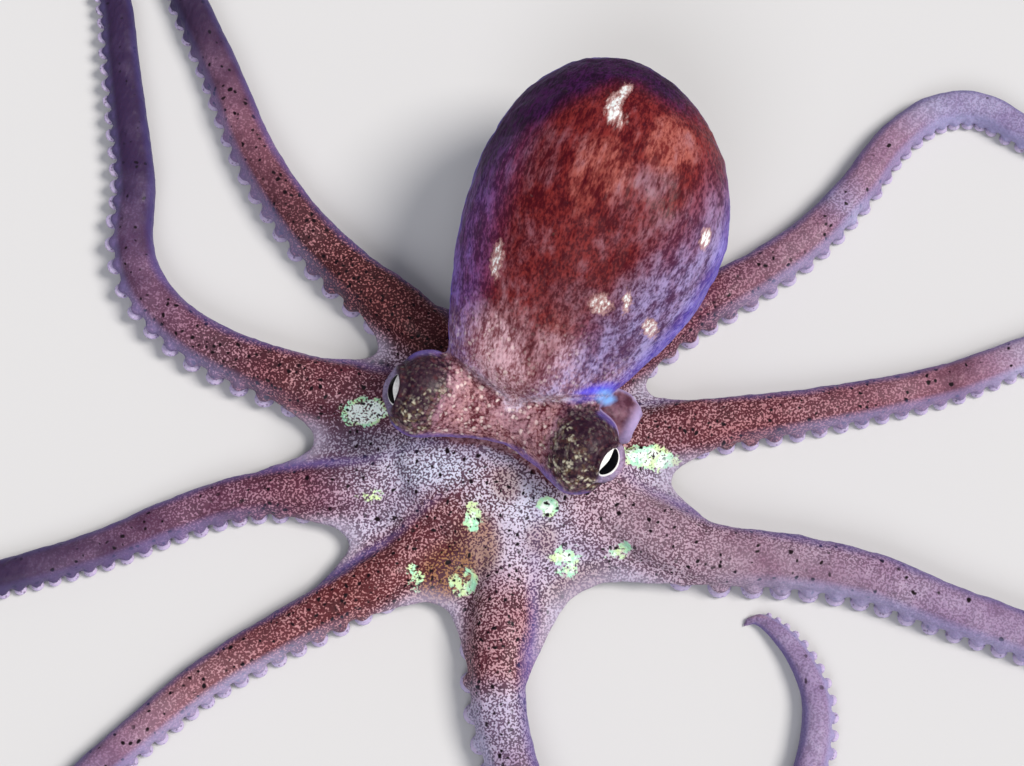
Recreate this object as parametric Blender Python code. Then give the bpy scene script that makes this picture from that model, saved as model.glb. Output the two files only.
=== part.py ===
"""A small octopus at life size, crawling with its arms spread on a flat floor.

Metres, +Z up. Everything is measured from the mouth, and the whole model is then moved so that the
origin is on the floor under the middle of its outline. +X is towards the animal's left arms, and the
mantle trails towards +Y. The arms rest on the flat rims of their suckers, at z = 0.
"""

import math

import bmesh
import bpy
from mathutils import Matrix, Vector

MM = 0.001
GAP = 0.3 * MM  # between neighbouring pieces

# The arms. Each route is the arm's middle line seen from above, in mm, from the crown to the tip.
ARM_ROUTES = {
    "arm_l1": [
        (-0.6, -11.4), (-0.9, -17), (-1.2, -23), (-0.5, -28.4), (1.8, -35), (6.6, -41), (13.5, -44),
        (21.2, -42.4), (26.6, -37), (29.2, -30.5), (29.8, -25), (28.4, -20.8), (26.2, -17.9),
        (24.2, -16.6), (22.8, -17.4),
    ],
    "arm_l2": [
        (9.8, -5.8), (14, -8.2), (19.6, -10.4), (27.4, -11.2), (35.3, -12.7), (43.1, -15.7),
        (50.4, -18.4), (58, -21.5), (65.5, -26), (71, -32.5), (72, -40), (69.2, -44.6),
    ],
    "arm_l3": [
        (11.3, 1.6), (15, 2.3), (20.2, 3), (27.8, 4), (36, 5.5), (44.2, 7.4), (51.7, 10.2),
        (59.5, 12.8), (67.5, 13), (75, 10), (80, 4.5), (80.5, -1.5),
    ],
    "arm_l4": [
        (8.5, 7.6), (12.9, 11.1), (18.4, 14.9), (24, 18), (30.2, 22.3), (35.3, 27.6), (39.3, 32.9),
        (44, 36.3), (48.8, 36.6), (52.8, 34.3), (57, 32.3), (61.5, 32.4), (66, 35.5), (69.5, 40),
        (71, 44.5),
    ],
    "arm_r4": [
        (-6.0, 10.4), (-10.9, 14.5), (-16.2, 18.7), (-21.4, 24.2), (-26.1, 31.6), (-29.8, 40.5),
        (-33.4, 48.4), (-36.7, 56.5), (-38, 64.5), (-35, 71.5), (-29.4, 74.6),
    ],
    "arm_r3": [
        (-10.3, 4.8), (-18, 6.4), (-26.1, 9.1), (-32.3, 12.4), (-36.7, 17), (-38.3, 22),
        (-38.2, 28), (-39.2, 35.2), (-40.3, 42.5), (-41.2, 48.6), (-43.8, 54.4), (-49, 58.3),
        (-55, 58.5),
    ],
    "arm_r2": [
        (-11, -2.9), (-16.3, -3.8), (-26, -4.4), (-33.2, -6.6), (-40.5, -9.6), (-50, -12.4),
        (-58, -14), (-66, -13), (-72.5, -8.5), (-75.5, -1.5), (-74.4, 5.6),
    ],
    "arm_r1": [
        (-7.4, -8.7), (-11.5, -12), (-15.7, -14.5), (-24.2, -19.2), (-30.1, -22.9), (-35.4, -27.3),
        (-40.2, -31.5), (-45.5, -36.8), (-49, -44), (-48.5, -52), (-43.5, -58), (-36.4, -60),
    ],
}
STOUTNESS = {
    "arm_l1": 1.0, "arm_l2": 1.07, "arm_l3": 0.86, "arm_l4": 0.88,
    "arm_r4": 0.95, "arm_r3": 0.95, "arm_r2": 0.8, "arm_r1": 0.84,
}
ARM_LENGTH = 91 * MM  # from the mouth to the tip
ARM_CUTS = {  # how far along its route each arm is parted into lengths
    "arm_l1": (16 * MM, 30 * MM, 46 * MM, 62 * MM),
    "arm_l2": (16 * MM, 38 * MM, 60 * MM),
    "arm_l3": (16 * MM, 38 * MM, 60 * MM),
    "arm_l4": (16 * MM, 36 * MM, 53 * MM),
    "arm_r4": (16 * MM, 38 * MM, 60 * MM),
    "arm_r3": (16 * MM, 30 * MM, 50 * MM),
    "arm_r2": (16 * MM, 38 * MM, 60 * MM),
    "arm_r1": (16 * MM, 38 * MM, 58 * MM),
}
LENGTH_NAMES = {
    4: ("base", "middle", "outer", "tip"),
    5: ("base", "middle", "bend", "outer", "tip"),
}
ARM_THICK_END = 3.95 * MM  # half width that the taper starts from, at the mouth
ARM_THIN_END = 1.85 * MM  # half width that the taper heads for, before the tip closes
ROOT_PINCH = 0.2  # share of its width that an arm lacks where it leaves the crown
ROOT_REACH = 8 * MM
ARM_HEIGHT = 1.72  # height of an arm, in half widths
ARM_STEP = 3.1 * MM  # between the rings of an arm
TIP_CLOSE = 0.6 * MM
UNDERSIDE = 0.5 * MM  # the arms' undersides clear the floor by this where they have suckers
SUCKERS_FROM = 2.6 * MM  # along the route
SUCKERS_TO = 24 * MM
LANDING = 14 * MM  # the arm comes down to the floor over this length, past its modelled suckers
# Half of an arm's section, from its upper ridge round to its underside: (half widths, heights).
SECTION = ((0.38, 1.0), (0.9, 0.74), (1.0, 0.4), (0.7, 0.0))

# The suckers stand in two rows, turned a little towards the animal's front.
SUCKER_PITCH = 1.05  # in half widths of the arm
SUCKER_RADIUS = 0.36
SUCKER_ROWS = (0.86, -0.34)  # sideways, in half widths; the first row is on the arm's front side
SUCKER_TOP = 1.1 * MM
SUCKER_SIDES = 6

# The crown is the round body at the mouth that the arms and the web grow from.
CROWN_RADIUS = 11 * MM
CROWN_LOW = 0.8 * MM
CROWN_RIM = 5.3 * MM
CROWN_TOP = 6.2 * MM
CROWN_SIDES = 28
MOUTH_RADIUS = 1.4 * MM
MOUTH_DEPTH = 2.2 * MM

# The web: between which arms, how far its free edge is from the mouth, and how far along its arms.
WEBS = (
    ("arm_l1", "arm_l2", 15.8 * MM, 13 * MM),
    ("arm_l2", "arm_l3", 16.4 * MM, 12 * MM),
    ("arm_l3", "arm_l4", 15.2 * MM, 9 * MM),
    ("arm_l4", "arm_r4", 13.6 * MM, 5 * MM),
    ("arm_r4", "arm_r3", 17.0 * MM, 12 * MM),
    ("arm_r3", "arm_r2", 19.6 * MM, 15 * MM),
    ("arm_r2", "arm_r1", 18.4 * MM, 14 * MM),
    ("arm_r1", "arm_l1", 17.0 * MM, 12 * MM),
)
WEB_THICK = 0.8 * MM
WEB_AT_FLANK = 0.6  # of the arm's height
WEB_EDGE_TOP = 1.9 * MM
WEB_ACROSS = 6
WEB_OUT = 4

# The head: a waisted body between two eye bulges, on its own axes.
HEAD_CENTRE = Vector((-1.1, 1.1, 0)) * MM
HEAD_TURN = math.radians(-19.7)  # of the line from the right eye to the left eye
HEAD_STATIONS = (  # mm along that line: (place, front, back, lowest, highest)
    (-11.3, 1.8, -1.9, 7.4, 11.3),
    (-10.2, 3.5, -3.6, 5.8, 12.7),
    (-8.5, 4.4, -4.4, 5.0, 13.4),
    (-6.7, 4.2, -4.8, 4.6, 13.1),
    (-4.4, 2.9, -5.6, 4.4, 12.0),
    (-1.4, 1.9, -6.2, 4.4, 11.4),
    (1.8, 1.8, -6.2, 4.4, 11.4),
    (4.9, 2.8, -5.7, 4.4, 12.0),
    (7.1, 4.1, -4.8, 4.6, 13.1),
    (8.9, 4.4, -4.4, 5.0, 13.4),
    (10.7, 3.5, -3.6, 5.8, 12.7),
    (11.8, 1.8, -1.9, 7.4, 11.3),
)
HEAD_SIDES = 14
HEAD_POLE = 0.4 * MM
HEAD_SEAT_RIM = 5.8 * MM  # the head's underside follows the crown at a gap, and no lower than this
HEAD_SEAT_TOP = 6.5 * MM

EYE_RADIUS = 2.35 * MM
EYE_OUT = 1.3 * MM  # from the middle of the bulge, along the gaze
EYE_HEIGHT = 9.9 * MM
EYE_STATIONS = (-7.9 * MM, 8.9 * MM)
GAZE_FORWARD = math.radians(14)
GAZE_UP = math.radians(16)

# The mantle: a pear-shaped sac from the neck to its round end.
NECK = Vector((1.6, 5.7, 0)) * MM
MANTLE_TURN = math.radians(-19.4)  # of its axis from +Y
MANTLE_LENGTH = 32.2 * MM
MANTLE_COLLAR = 3 * MM  # how far it runs forward over the neck
NECK_HALF_WIDTH = 8.1 * MM
NECK_HALF_HEIGHT = 4.3 * MM
MANTLE_HALF_WIDTH = 12.8 * MM
MANTLE_HALF_HEIGHT = 9.8 * MM
SIDE_SWELL = 1.0  # a higher power swells later
BELLY_SWELL = 1.6
MANTLE_BOW = 1.6 * MM  # how far its middle line swings to the left
NECK_LEVEL = 10.8 * MM
MANTLE_RISE = 2.6 * MM
END_RISE = 0.8 * MM
MANTLE_SIDES = 18
MANTLE_RINGS = 12

# The funnel: a short soft tube under the mantle's edge, behind the left eye.
FUNNEL_BASE = Vector((6.8, 5.0, 8.9)) * MM
FUNNEL_END = Vector((11.4, 1.8, 7.9)) * MM
FUNNEL_RADII = (2.7 * MM, 1.9 * MM)
FUNNEL_BORE = 1.2 * MM
FUNNEL_DEPTH = 2.4 * MM
FUNNEL_SIDES = 14


def clear_scene():
    for obj in list(bpy.data.objects):
        bpy.data.objects.remove(obj, do_unlink=True)


def make_material(name, colour, roughness, metallic=0.0):
    material = bpy.data.materials.new(name)
    material.use_nodes = True
    shader = material.node_tree.nodes["Principled BSDF"]
    shader.inputs["Base Color"].default_value = (*colour, 1)
    shader.inputs["Roughness"].default_value = roughness
    shader.inputs["Metallic"].default_value = metallic
    return material


def make_object(name, mesh_data, material=None):
    mesh = bpy.data.meshes.new(name)
    bmesh.ops.recalc_face_normals(mesh_data, faces=mesh_data.faces)
    mesh_data.to_mesh(mesh)
    mesh_data.free()
    mesh.shade_smooth()
    obj = bpy.data.objects.new(name, mesh)
    bpy.context.scene.collection.objects.link(obj)
    if material is None:
        obj.hide_render = True
        obj.display_type = "WIRE"
    else:
        mesh.materials.append(material)
    return obj


def loft(rings, start=None, end=None):
    """A closed skin over rings of points, ending in a point where one is given and flat where not."""
    shape = bmesh.new()
    loops = [[shape.verts.new(p) for p in ring] for ring in rings]
    for one, two in zip(loops, loops[1:]):
        for i in range(len(one)):
            j = (i + 1) % len(one)
            shape.faces.new((one[i], one[j], two[j], two[i]))
    for loop, point in ((loops[0], start), (loops[-1], end)):
        if point is None:
            shape.faces.new(loop)
            continue
        tip = shape.verts.new(point)
        for i in range(len(loop)):
            shape.faces.new((loop[i], loop[(i + 1) % len(loop)], tip))
    return shape


def combine(obj, other, operation):
    modifier = obj.modifiers.new(f"{operation.lower()} {other.name}", "BOOLEAN")
    modifier.operation = operation
    modifier.solver = "EXACT"
    modifier.object = other


def smooth_step(x):
    x = min(max(x, 0.0), 1.0)
    return x * x * (3 - 2 * x)


class Route:
    """A smooth curve through the given points, read by the distance along it."""

    PIECES = 24  # straight pieces between two of the given points

    def __init__(self, points):
        given = [Vector((x, y, 0)) * MM for x, y in points]
        given = [2 * given[0] - given[1], *given, 2 * given[-1] - given[-2]]
        self.points = []
        for i in range(1, len(given) - 2):
            for k in range(self.PIECES):
                self.points.append(self.between(given[i - 1 : i + 3], k / self.PIECES))
        self.points.append(given[-2])
        self.marks = [0.0]
        for one, two in zip(self.points, self.points[1:]):
            self.marks.append(self.marks[-1] + (two - one).length)
        self.length = self.marks[-1]

    @staticmethod
    def between(four, t):
        a, b, c, d = four
        return 0.5 * (
            2 * b + (c - a) * t + (2 * a - 5 * b + 4 * c - d) * t**2 + (3 * b - a - 3 * c + d) * t**3
        )

    def at(self, distance):
        distance = min(max(distance, 0.0), self.length)
        k = 0
        while k < len(self.marks) - 2 and self.marks[k + 1] < distance:
            k += 1
        share = (distance - self.marks[k]) / (self.marks[k + 1] - self.marks[k])
        return self.points[k].lerp(self.points[k + 1], share)

    def side(self, distance):
        """The direction to the left of the route, as seen from above."""
        step = 0.4 * MM
        ahead = self.at(distance + step) - self.at(distance - step)
        return Vector((-ahead.y, ahead.x, 0)).normalized()


class Arm:
    def __init__(self, name):
        self.name = name
        self.route = Route(ARM_ROUTES[name])
        self.front = 1 if name.startswith("arm_r") else -1  # which side faces the animal's front

    def half_width(self, distance):
        share = 1 - (self.route.length - distance) / ARM_LENGTH
        taper = ARM_THIN_END + (ARM_THICK_END - ARM_THIN_END) * (1 - share) ** 3
        pinch = 1 - ROOT_PINCH * (1 - smooth_step(distance / ROOT_REACH))
        return STOUTNESS[self.name] * taper * pinch * math.sqrt(max(1 - share**6, 0.0))

    def underside(self, distance):
        return UNDERSIDE * (1 - smooth_step((distance - SUCKERS_TO) / LANDING))

    def height(self, distance):
        return ARM_HEIGHT * self.half_width(distance)

    def ring(self, distance):
        middle = self.route.at(distance)
        side = self.route.side(distance)
        wide = self.half_width(distance)
        low = self.underside(distance)
        half = [(u * wide, low + w * (self.height(distance) - low)) for u, w in SECTION]
        outline = half + [(-u, z) for u, z in reversed(half)]
        return [middle + side * u + Vector((0, 0, z)) for u, z in outline]

    def flank(self, distance, facing):
        """The point in plan beside the arm, a gap away from it, on the left (1) or right (-1)."""
        reach = self.half_width(distance) + GAP
        return self.route.at(distance) + self.route.side(distance) * facing * reach

    def sucker_places(self):
        """(distance along the arm, sideways, radius) of the suckers, the rows taking turns."""
        places = []
        distance = SUCKERS_FROM
        row = 0
        while distance < SUCKERS_TO:
            wide = self.half_width(distance)
            sideways = SUCKER_ROWS[row] * self.front * wide
            places.append((distance, sideways, SUCKER_RADIUS * wide))
            distance += SUCKER_PITCH * wide / 2
            row = 1 - row
        return places


def add_arm(arm, material):
    cuts = (0.0, *ARM_CUTS[arm.name], arm.route.length)
    for label, start, stop in zip(LENGTH_NAMES[len(cuts) - 1], cuts, cuts[1:]):
        last = stop == arm.route.length
        begin = start + (GAP / 2 if start else 0)
        finish = stop - (TIP_CLOSE if last else GAP / 2)
        count = max(2, round((finish - begin) / ARM_STEP))
        rings = [arm.ring(begin + (finish - begin) * k / count) for k in range(count + 1)]
        end = None
        if last:
            end = arm.route.at(stop) + Vector((0, 0, arm.height(finish) / 3))
        name = f"{arm.name}_{label}"
        length = make_object(name, loft(rings, end=end), material)
        discs = bmesh.new()
        for distance, sideways, radius in arm.sucker_places():
            if not begin + radius < distance < finish - radius:
                continue
            centre = arm.route.at(distance) + arm.route.side(distance) * sideways
            centre.z = SUCKER_TOP / 2
            bmesh.ops.create_cone(
                discs, cap_ends=True, segments=SUCKER_SIDES, radius1=radius, radius2=0.8 * radius,
                depth=SUCKER_TOP, matrix=Matrix.Translation(centre),
            )
        if discs.verts:
            combine(length, make_object(f"{name}_suckers", discs), "UNION")
        else:
            discs.free()


def crown_height(share):
    return CROWN_TOP + (CROWN_RIM - CROWN_TOP) * share**2


def circle(centre, radius, level, sides):
    turns = [2 * math.pi * i / sides for i in range(sides)]
    return [
        Vector((centre.x + radius * math.cos(a), centre.y + radius * math.sin(a), level)) for a in turns
    ]


def add_crown(material):
    nowhere = Vector((0, 0, 0))
    levels = [(share, crown_height(share)) for share in (1.0, 0.75, 0.4)]
    rings = [circle(nowhere, CROWN_RADIUS, CROWN_LOW, CROWN_SIDES)]
    rings += [circle(nowhere, share * CROWN_RADIUS, z, CROWN_SIDES) for share, z in levels]
    crown = make_object("arm_crown", loft(rings, end=Vector((0, 0, CROWN_TOP))), material)
    below = CROWN_LOW - GAP
    mouth = [circle(nowhere, MOUTH_RADIUS, below, CROWN_SIDES // 2)]
    mouth.append(circle(nowhere, MOUTH_RADIUS / 2, CROWN_LOW + MOUTH_DEPTH, CROWN_SIDES // 2))
    combine(crown, make_object("mouth_cutter", loft(mouth)), "DIFFERENCE")


def web_mid_distance(one, two, reach):
    """How far along its two arms the web's free edge lies, for its middle to be at that reach."""
    distance = 0.0
    while ((one.flank(distance, 1) + two.flank(distance, -1)) / 2).length < reach:
        distance += 0.1 * MM
    return distance


def add_web(one, two, reach, run, material):
    """The sheet from the left flank of one arm to the right flank of the next."""
    middle = web_mid_distance(one, two, reach)
    tops = []
    lows = []
    for i in range(WEB_ACROSS + 1):
        u = i / WEB_ACROSS
        edge = middle + (run - middle) * abs(2 * u - 1) ** 2.5
        for k in range(WEB_OUT + 1):
            v = k / WEB_OUT
            distance = edge * v + 0.4 * MM
            place = one.flank(distance, 1).lerp(two.flank(distance, -1), u)
            level = WEB_AT_FLANK * one.height(distance)
            drop = (level - WEB_EDGE_TOP) * (1 - abs(2 * u - 1) ** 2) * smooth_step(v)
            tops.append(place + Vector((0, 0, level - drop)))
            lows.append(place + Vector((0, 0, level - drop - WEB_THICK)))
    shape = bmesh.new()
    upper = [shape.verts.new(p) for p in tops]
    lower = [shape.verts.new(p) for p in lows]
    row = WEB_OUT + 1
    for i in range(WEB_ACROSS):
        for k in range(WEB_OUT):
            corners = (i * row + k, i * row + k + 1, (i + 1) * row + k + 1, (i + 1) * row + k)
            shape.faces.new([upper[c] for c in corners])
            shape.faces.new([lower[c] for c in reversed(corners)])
    rim = [k for k in range(row)]
    rim += [i * row + WEB_OUT for i in range(1, WEB_ACROSS + 1)]
    rim += [WEB_ACROSS * row + k for k in range(WEB_OUT - 1, -1, -1)]
    rim += [i * row for i in range(WEB_ACROSS - 1, 0, -1)]
    for a, b in zip(rim, rim[1:] + rim[:1]):
        shape.faces.new((upper[a], upper[b], lower[b], lower[a]))
    make_object(f"web_{one.name[4:]}_{two.name[4:]}", shape, material)


def head_axes():
    along = Vector((math.cos(HEAD_TURN), math.sin(HEAD_TURN), 0))
    front = Vector((along.y, -along.x, 0))
    return along, front


def head_shape(extra=0.0):
    """The whole head, larger all round by extra."""
    along, front = head_axes()
    rings = []
    for place, ahead, behind, low, high in HEAD_STATIONS:
        ahead, behind, low, high = (v * MM for v in (ahead, behind, low, high))
        outwards = extra * (1 if place > 0 else -1)
        centre = HEAD_CENTRE + along * (place * MM + outwards) + front * (ahead + behind) / 2
        deep = (ahead - behind) / 2 + extra
        tall = (high - low) / 2 + extra
        ring = []
        for i in range(HEAD_SIDES):
            turn = 2 * math.pi * (i + 0.5) / HEAD_SIDES
            level = (high + low) / 2 + tall * math.sin(turn)
            ring.append(centre + front * deep * math.cos(turn) + Vector((0, 0, level)))
        rings.append(ring)
    poles = []
    for ring, way in ((rings[0], -1), (rings[-1], 1)):
        poles.append(sum(ring, Vector()) / HEAD_SIDES + along * way * (HEAD_POLE + extra / 2))
    return loft(rings, *poles)


def eye_centre(side):
    """side is 0 for the right eye and 1 for the left."""
    along, _ = head_axes()
    middle = HEAD_CENTRE + along * EYE_STATIONS[side]
    return middle + Vector((0, 0, EYE_HEIGHT)) + gaze(side) * EYE_OUT


def gaze(side):
    along, front = head_axes()
    level = along * (1 if side else -1) * math.cos(GAZE_FORWARD) + front * math.sin(GAZE_FORWARD)
    return level * math.cos(GAZE_UP) + Vector((0, 0, math.sin(GAZE_UP)))


def ball(centre, radius, axis):
    shape = bmesh.new()
    matrix = Matrix.Translation(centre) @ axis.to_track_quat("Z", "Y").to_matrix().to_4x4()
    bmesh.ops.create_uvsphere(shape, u_segments=12, v_segments=8, radius=radius, matrix=matrix)
    return shape


def add_head(material):
    head = make_object("head", head_shape(), material)
    nowhere = Vector((0, 0, 0))
    seat = [circle(nowhere, 2 * CROWN_RADIUS, -GAP, CROWN_SIDES)]
    seat.append(circle(nowhere, 2 * CROWN_RADIUS, HEAD_SEAT_RIM, CROWN_SIDES))
    for share in (1.0, 0.7, 0.4):
        level = HEAD_SEAT_TOP + (HEAD_SEAT_RIM - HEAD_SEAT_TOP) * share**2
        seat.append(circle(nowhere, share * CROWN_RADIUS, level, CROWN_SIDES))
    seat = make_object("head_seat", loft(seat, end=Vector((0, 0, HEAD_SEAT_TOP))))
    combine(head, seat, "DIFFERENCE")
    for side, word in enumerate(("right", "left")):
        socket = make_object(f"socket_{word}", ball(eye_centre(side), EYE_RADIUS + GAP, gaze(side)))
        combine(head, socket, "DIFFERENCE")


def add_eyes(material):
    for side, word in enumerate(("right", "left")):
        make_object(f"eye_{word}", ball(eye_centre(side), EYE_RADIUS, gaze(side)), material)


def mantle_size(share, at_neck, at_most, power):
    """Half width or half height along the mantle: a sine from the neck, then half an ellipse."""
    if share < 0:
        return at_neck * math.sqrt(1 - (0.75 * share * MANTLE_LENGTH / MANTLE_COLLAR) ** 2)
    if share < 0.5:
        return at_neck + (at_most - at_neck) * math.sin(math.pi * share) ** power
    return at_most * math.sqrt(max(1 - (2 * share - 1) ** 2, 0.0))


def mantle_shape(extra=0.0):
    along = Vector((-math.sin(MANTLE_TURN), math.cos(MANTLE_TURN), 0))
    left = Vector((along.y, -along.x, 0))
    shares = [-MANTLE_COLLAR / MANTLE_LENGTH, -0.5 * MANTLE_COLLAR / MANTLE_LENGTH]
    for k in range(MANTLE_RINGS):
        shares.append(0.995 * math.sin(math.pi / 2 * k / (MANTLE_RINGS - 1)))
    rings = []
    for share in shares:
        wide = mantle_size(share, NECK_HALF_WIDTH, MANTLE_HALF_WIDTH, SIDE_SWELL) + extra
        tall = mantle_size(share, NECK_HALF_HEIGHT, MANTLE_HALF_HEIGHT, BELLY_SWELL) + extra
        bow = MANTLE_BOW * math.sin(math.pi * max(share, 0.0))
        level = NECK_LEVEL + MANTLE_RISE * min(max(2 * share, 0), 1) + END_RISE * max(2 * share - 1, 0)
        centre = NECK + along * share * MANTLE_LENGTH + left * bow + Vector((0, 0, level))
        turns = [2 * math.pi * i / MANTLE_SIDES for i in range(MANTLE_SIDES)]
        ring = [centre + left * wide * math.cos(a) + Vector((0, 0, tall * math.sin(a))) for a in turns]
        rings.append(ring)
    end = sum(rings[-1], Vector()) / MANTLE_SIDES + along * (0.005 * MANTLE_LENGTH + extra)
    return loft(rings, end=end)


def add_mantle(material):
    mantle = make_object("mantle", mantle_shape(), material)
    combine(mantle, make_object("neck_cutter", head_shape(GAP)), "DIFFERENCE")


def add_funnel(material):
    axis = (FUNNEL_END - FUNNEL_BASE).normalized()
    turn = axis.to_track_quat("Z", "Y").to_matrix()

    def ring(place, radius):
        flat = circle(Vector((0, 0, 0)), radius, 0, FUNNEL_SIDES)
        return [place + turn @ p for p in flat]

    tube = [ring(FUNNEL_BASE, FUNNEL_RADII[0]), ring(FUNNEL_END, FUNNEL_RADII[1])]
    funnel = make_object("funnel", loft(tube), material)
    bore = [ring(FUNNEL_END - axis * FUNNEL_DEPTH, 0.7 * FUNNEL_BORE)]
    bore.append(ring(FUNNEL_END + axis * GAP, FUNNEL_BORE))
    combine(funnel, make_object("funnel_bore", loft(bore)), "DIFFERENCE")
    combine(funnel, make_object("funnel_head_cutter", head_shape(GAP)), "DIFFERENCE")
    combine(funnel, make_object("funnel_mantle_cutter", mantle_shape(GAP)), "DIFFERENCE")


def move_to_origin():
    """Moves the whole model so that the middle of its outline is over the origin."""
    corners = [v.co for obj in bpy.data.objects if not obj.hide_render for v in obj.data.vertices]
    lows = Vector((min(p.x for p in corners), min(p.y for p in corners), 0))
    highs = Vector((max(p.x for p in corners), max(p.y for p in corners), 0))
    for obj in bpy.data.objects:
        obj.location = -(lows + highs) / 2


def main():
    clear_scene()
    skin = make_material("skin_red", (0.28, 0.07, 0.08), 0.45)
    arm_skin = make_material("skin_arm", (0.33, 0.12, 0.16), 0.45)
    web_skin = make_material("skin_web", (0.55, 0.46, 0.60), 0.4)
    funnel_skin = make_material("skin_funnel", (0.45, 0.20, 0.26), 0.4)
    eye = make_material("eye", (0.02, 0.02, 0.02), 0.1)
    arms = {name: Arm(name) for name in ARM_ROUTES}
    for arm in arms.values():
        add_arm(arm, arm_skin)
    add_crown(web_skin)
    for one, two, reach, run in WEBS:
        add_web(arms[one], arms[two], reach, run, web_skin)
    add_head(skin)
    add_eyes(eye)
    add_mantle(skin)
    add_funnel(funnel_skin)
    move_to_origin()


main()
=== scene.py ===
"""The looks of a small octopus at life size: one skin over all its flesh, its suckers and its eyes.

Pieces are modelled in millimetres from the mouth, the animal facing -Y with its left arms towards
+X, and settle() then brings each of them to its place in the frame, in metres.
"""

import functools
import math
from types import SimpleNamespace

import bmesh
import bpy
import numpy as np
from mathutils import Matrix, Vector


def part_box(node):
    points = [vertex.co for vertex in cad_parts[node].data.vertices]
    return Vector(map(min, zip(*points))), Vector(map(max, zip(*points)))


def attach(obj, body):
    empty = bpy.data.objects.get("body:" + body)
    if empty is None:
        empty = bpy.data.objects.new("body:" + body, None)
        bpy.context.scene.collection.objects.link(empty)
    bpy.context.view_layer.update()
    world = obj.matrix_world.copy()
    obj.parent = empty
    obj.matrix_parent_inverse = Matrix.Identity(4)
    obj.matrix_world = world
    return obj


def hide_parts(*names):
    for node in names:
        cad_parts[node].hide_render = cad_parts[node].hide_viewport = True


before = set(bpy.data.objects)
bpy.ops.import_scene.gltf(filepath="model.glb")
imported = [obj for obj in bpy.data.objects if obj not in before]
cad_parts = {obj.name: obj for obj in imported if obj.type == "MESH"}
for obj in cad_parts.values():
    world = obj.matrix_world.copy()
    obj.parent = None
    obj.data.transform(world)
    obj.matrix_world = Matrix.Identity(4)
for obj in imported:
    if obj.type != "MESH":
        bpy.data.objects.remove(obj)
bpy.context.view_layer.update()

MM = 0.001
CROWN_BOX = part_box("arm_crown")
MOUTH = Vector((
    (CROWN_BOX[0].x + CROWN_BOX[1].x) / 2,
    (CROWN_BOX[0].y + CROWN_BOX[1].y) / 2,
    0,
))

# ---------------------------------------------------------------------------------- the body's sizes

# Each arm's middle line seen from above, in mm, from the crown to the tip, as the solids have it.
ARM_ROUTES = {
    "arm_l1": [
        (-0.6, -11.4), (-0.9, -17), (-1.2, -23), (-0.5, -28.4), (1.8, -35), (6.6, -41), (13.5, -44),
        (21.2, -42.4), (26.6, -37), (29.2, -30.5), (29.8, -25), (28.4, -20.8), (26.2, -17.9),
        (24.2, -16.6), (22.8, -17.4),
    ],
    "arm_l2": [
        (9.8, -5.8), (14, -8.2), (19.6, -10.4), (27.4, -11.2), (35.3, -12.7), (43.1, -15.7),
        (50.4, -18.4), (58, -21.5), (65.5, -26), (71, -32.5), (72, -40), (69.2, -44.6),
    ],
    "arm_l3": [
        (11.3, 1.6), (15, 2.3), (20.2, 3), (27.8, 4), (36, 5.5), (44.2, 7.4), (51.7, 10.2),
        (59.5, 12.8), (67.5, 13), (75, 10), (80, 4.5), (80.5, -1.5),
    ],
    "arm_l4": [
        (8.5, 7.6), (12.9, 11.1), (18.4, 14.9), (24, 18), (30.2, 22.3), (35.3, 27.6), (39.3, 32.9),
        (44, 36.3), (48.8, 36.6), (52.8, 34.3), (57, 32.3), (61.5, 32.4), (66, 35.5), (69.5, 40),
        (71, 44.5),
    ],
    "arm_r4": [
        (-6.0, 10.4), (-10.9, 14.5), (-16.2, 18.7), (-21.4, 24.2), (-26.1, 31.6), (-29.8, 40.5),
        (-33.4, 48.4), (-36.7, 56.5), (-38, 64.5), (-35, 71.5), (-29.4, 74.6),
    ],
    "arm_r3": [
        (-10.3, 4.8), (-18, 6.4), (-26.1, 9.1), (-32.3, 12.4), (-36.7, 17), (-38.3, 22),
        (-38.2, 28), (-39.2, 35.2), (-40.3, 42.5), (-41.2, 48.6), (-43.8, 54.4), (-49, 58.3),
        (-55, 58.5),
    ],
    "arm_r2": [
        (-11, -2.9), (-16.3, -3.8), (-26, -4.4), (-33.2, -6.6), (-40.5, -9.6), (-50, -12.4),
        (-58, -14), (-66, -13), (-72.5, -8.5), (-75.5, -1.5), (-74.4, 5.6),
    ],
    "arm_r1": [
        (-7.4, -8.7), (-11.5, -12), (-15.7, -14.5), (-24.2, -19.2), (-30.1, -22.9), (-35.4, -27.3),
        (-40.2, -31.5), (-45.5, -36.8), (-49, -44), (-48.5, -52), (-43.5, -58), (-36.4, -60),
    ],
}
STOUTNESS = {
    "arm_l1": 1.0, "arm_l2": 1.07, "arm_l3": 0.86, "arm_l4": 0.88,
    "arm_r4": 0.95, "arm_r3": 0.95, "arm_r2": 0.8, "arm_r1": 0.84,
}
ARM_LENGTH = 91
ARM_THICK_END = 3.95  # half width that the taper starts from
ARM_THIN_END = 1.85
ROOT_PINCH = 0.2  # how much narrower the arm's root is, over its first few millimetres
ROOT_REACH = 8
ARM_HEIGHT = 1.72  # in half widths
ARM_FLANK = 0.85  # in half widths: where the web meets the arm
ARM_INNER_END = -5.5  # the arm runs on under the crown by this much
ARM_STEP = 0.9  # between two rings
ARM_SIDES = 28
ARM_TIP_GAP = 0.05  # the last ring's distance from the very tip
LOOK_AHEAD = 0.4  # mm either way, to find the arm's heading
SECTION_MIDDLE = 0.5  # of the arm's height: where it is widest
SECTION_LOW = 0.13  # of the arm's height: its underside, where the suckers grow
SECTION_FULL = 0.9  # powers under 1 make the section's sides and underside fuller than an ellipse
SECTION_FLAT = 0.8

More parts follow.
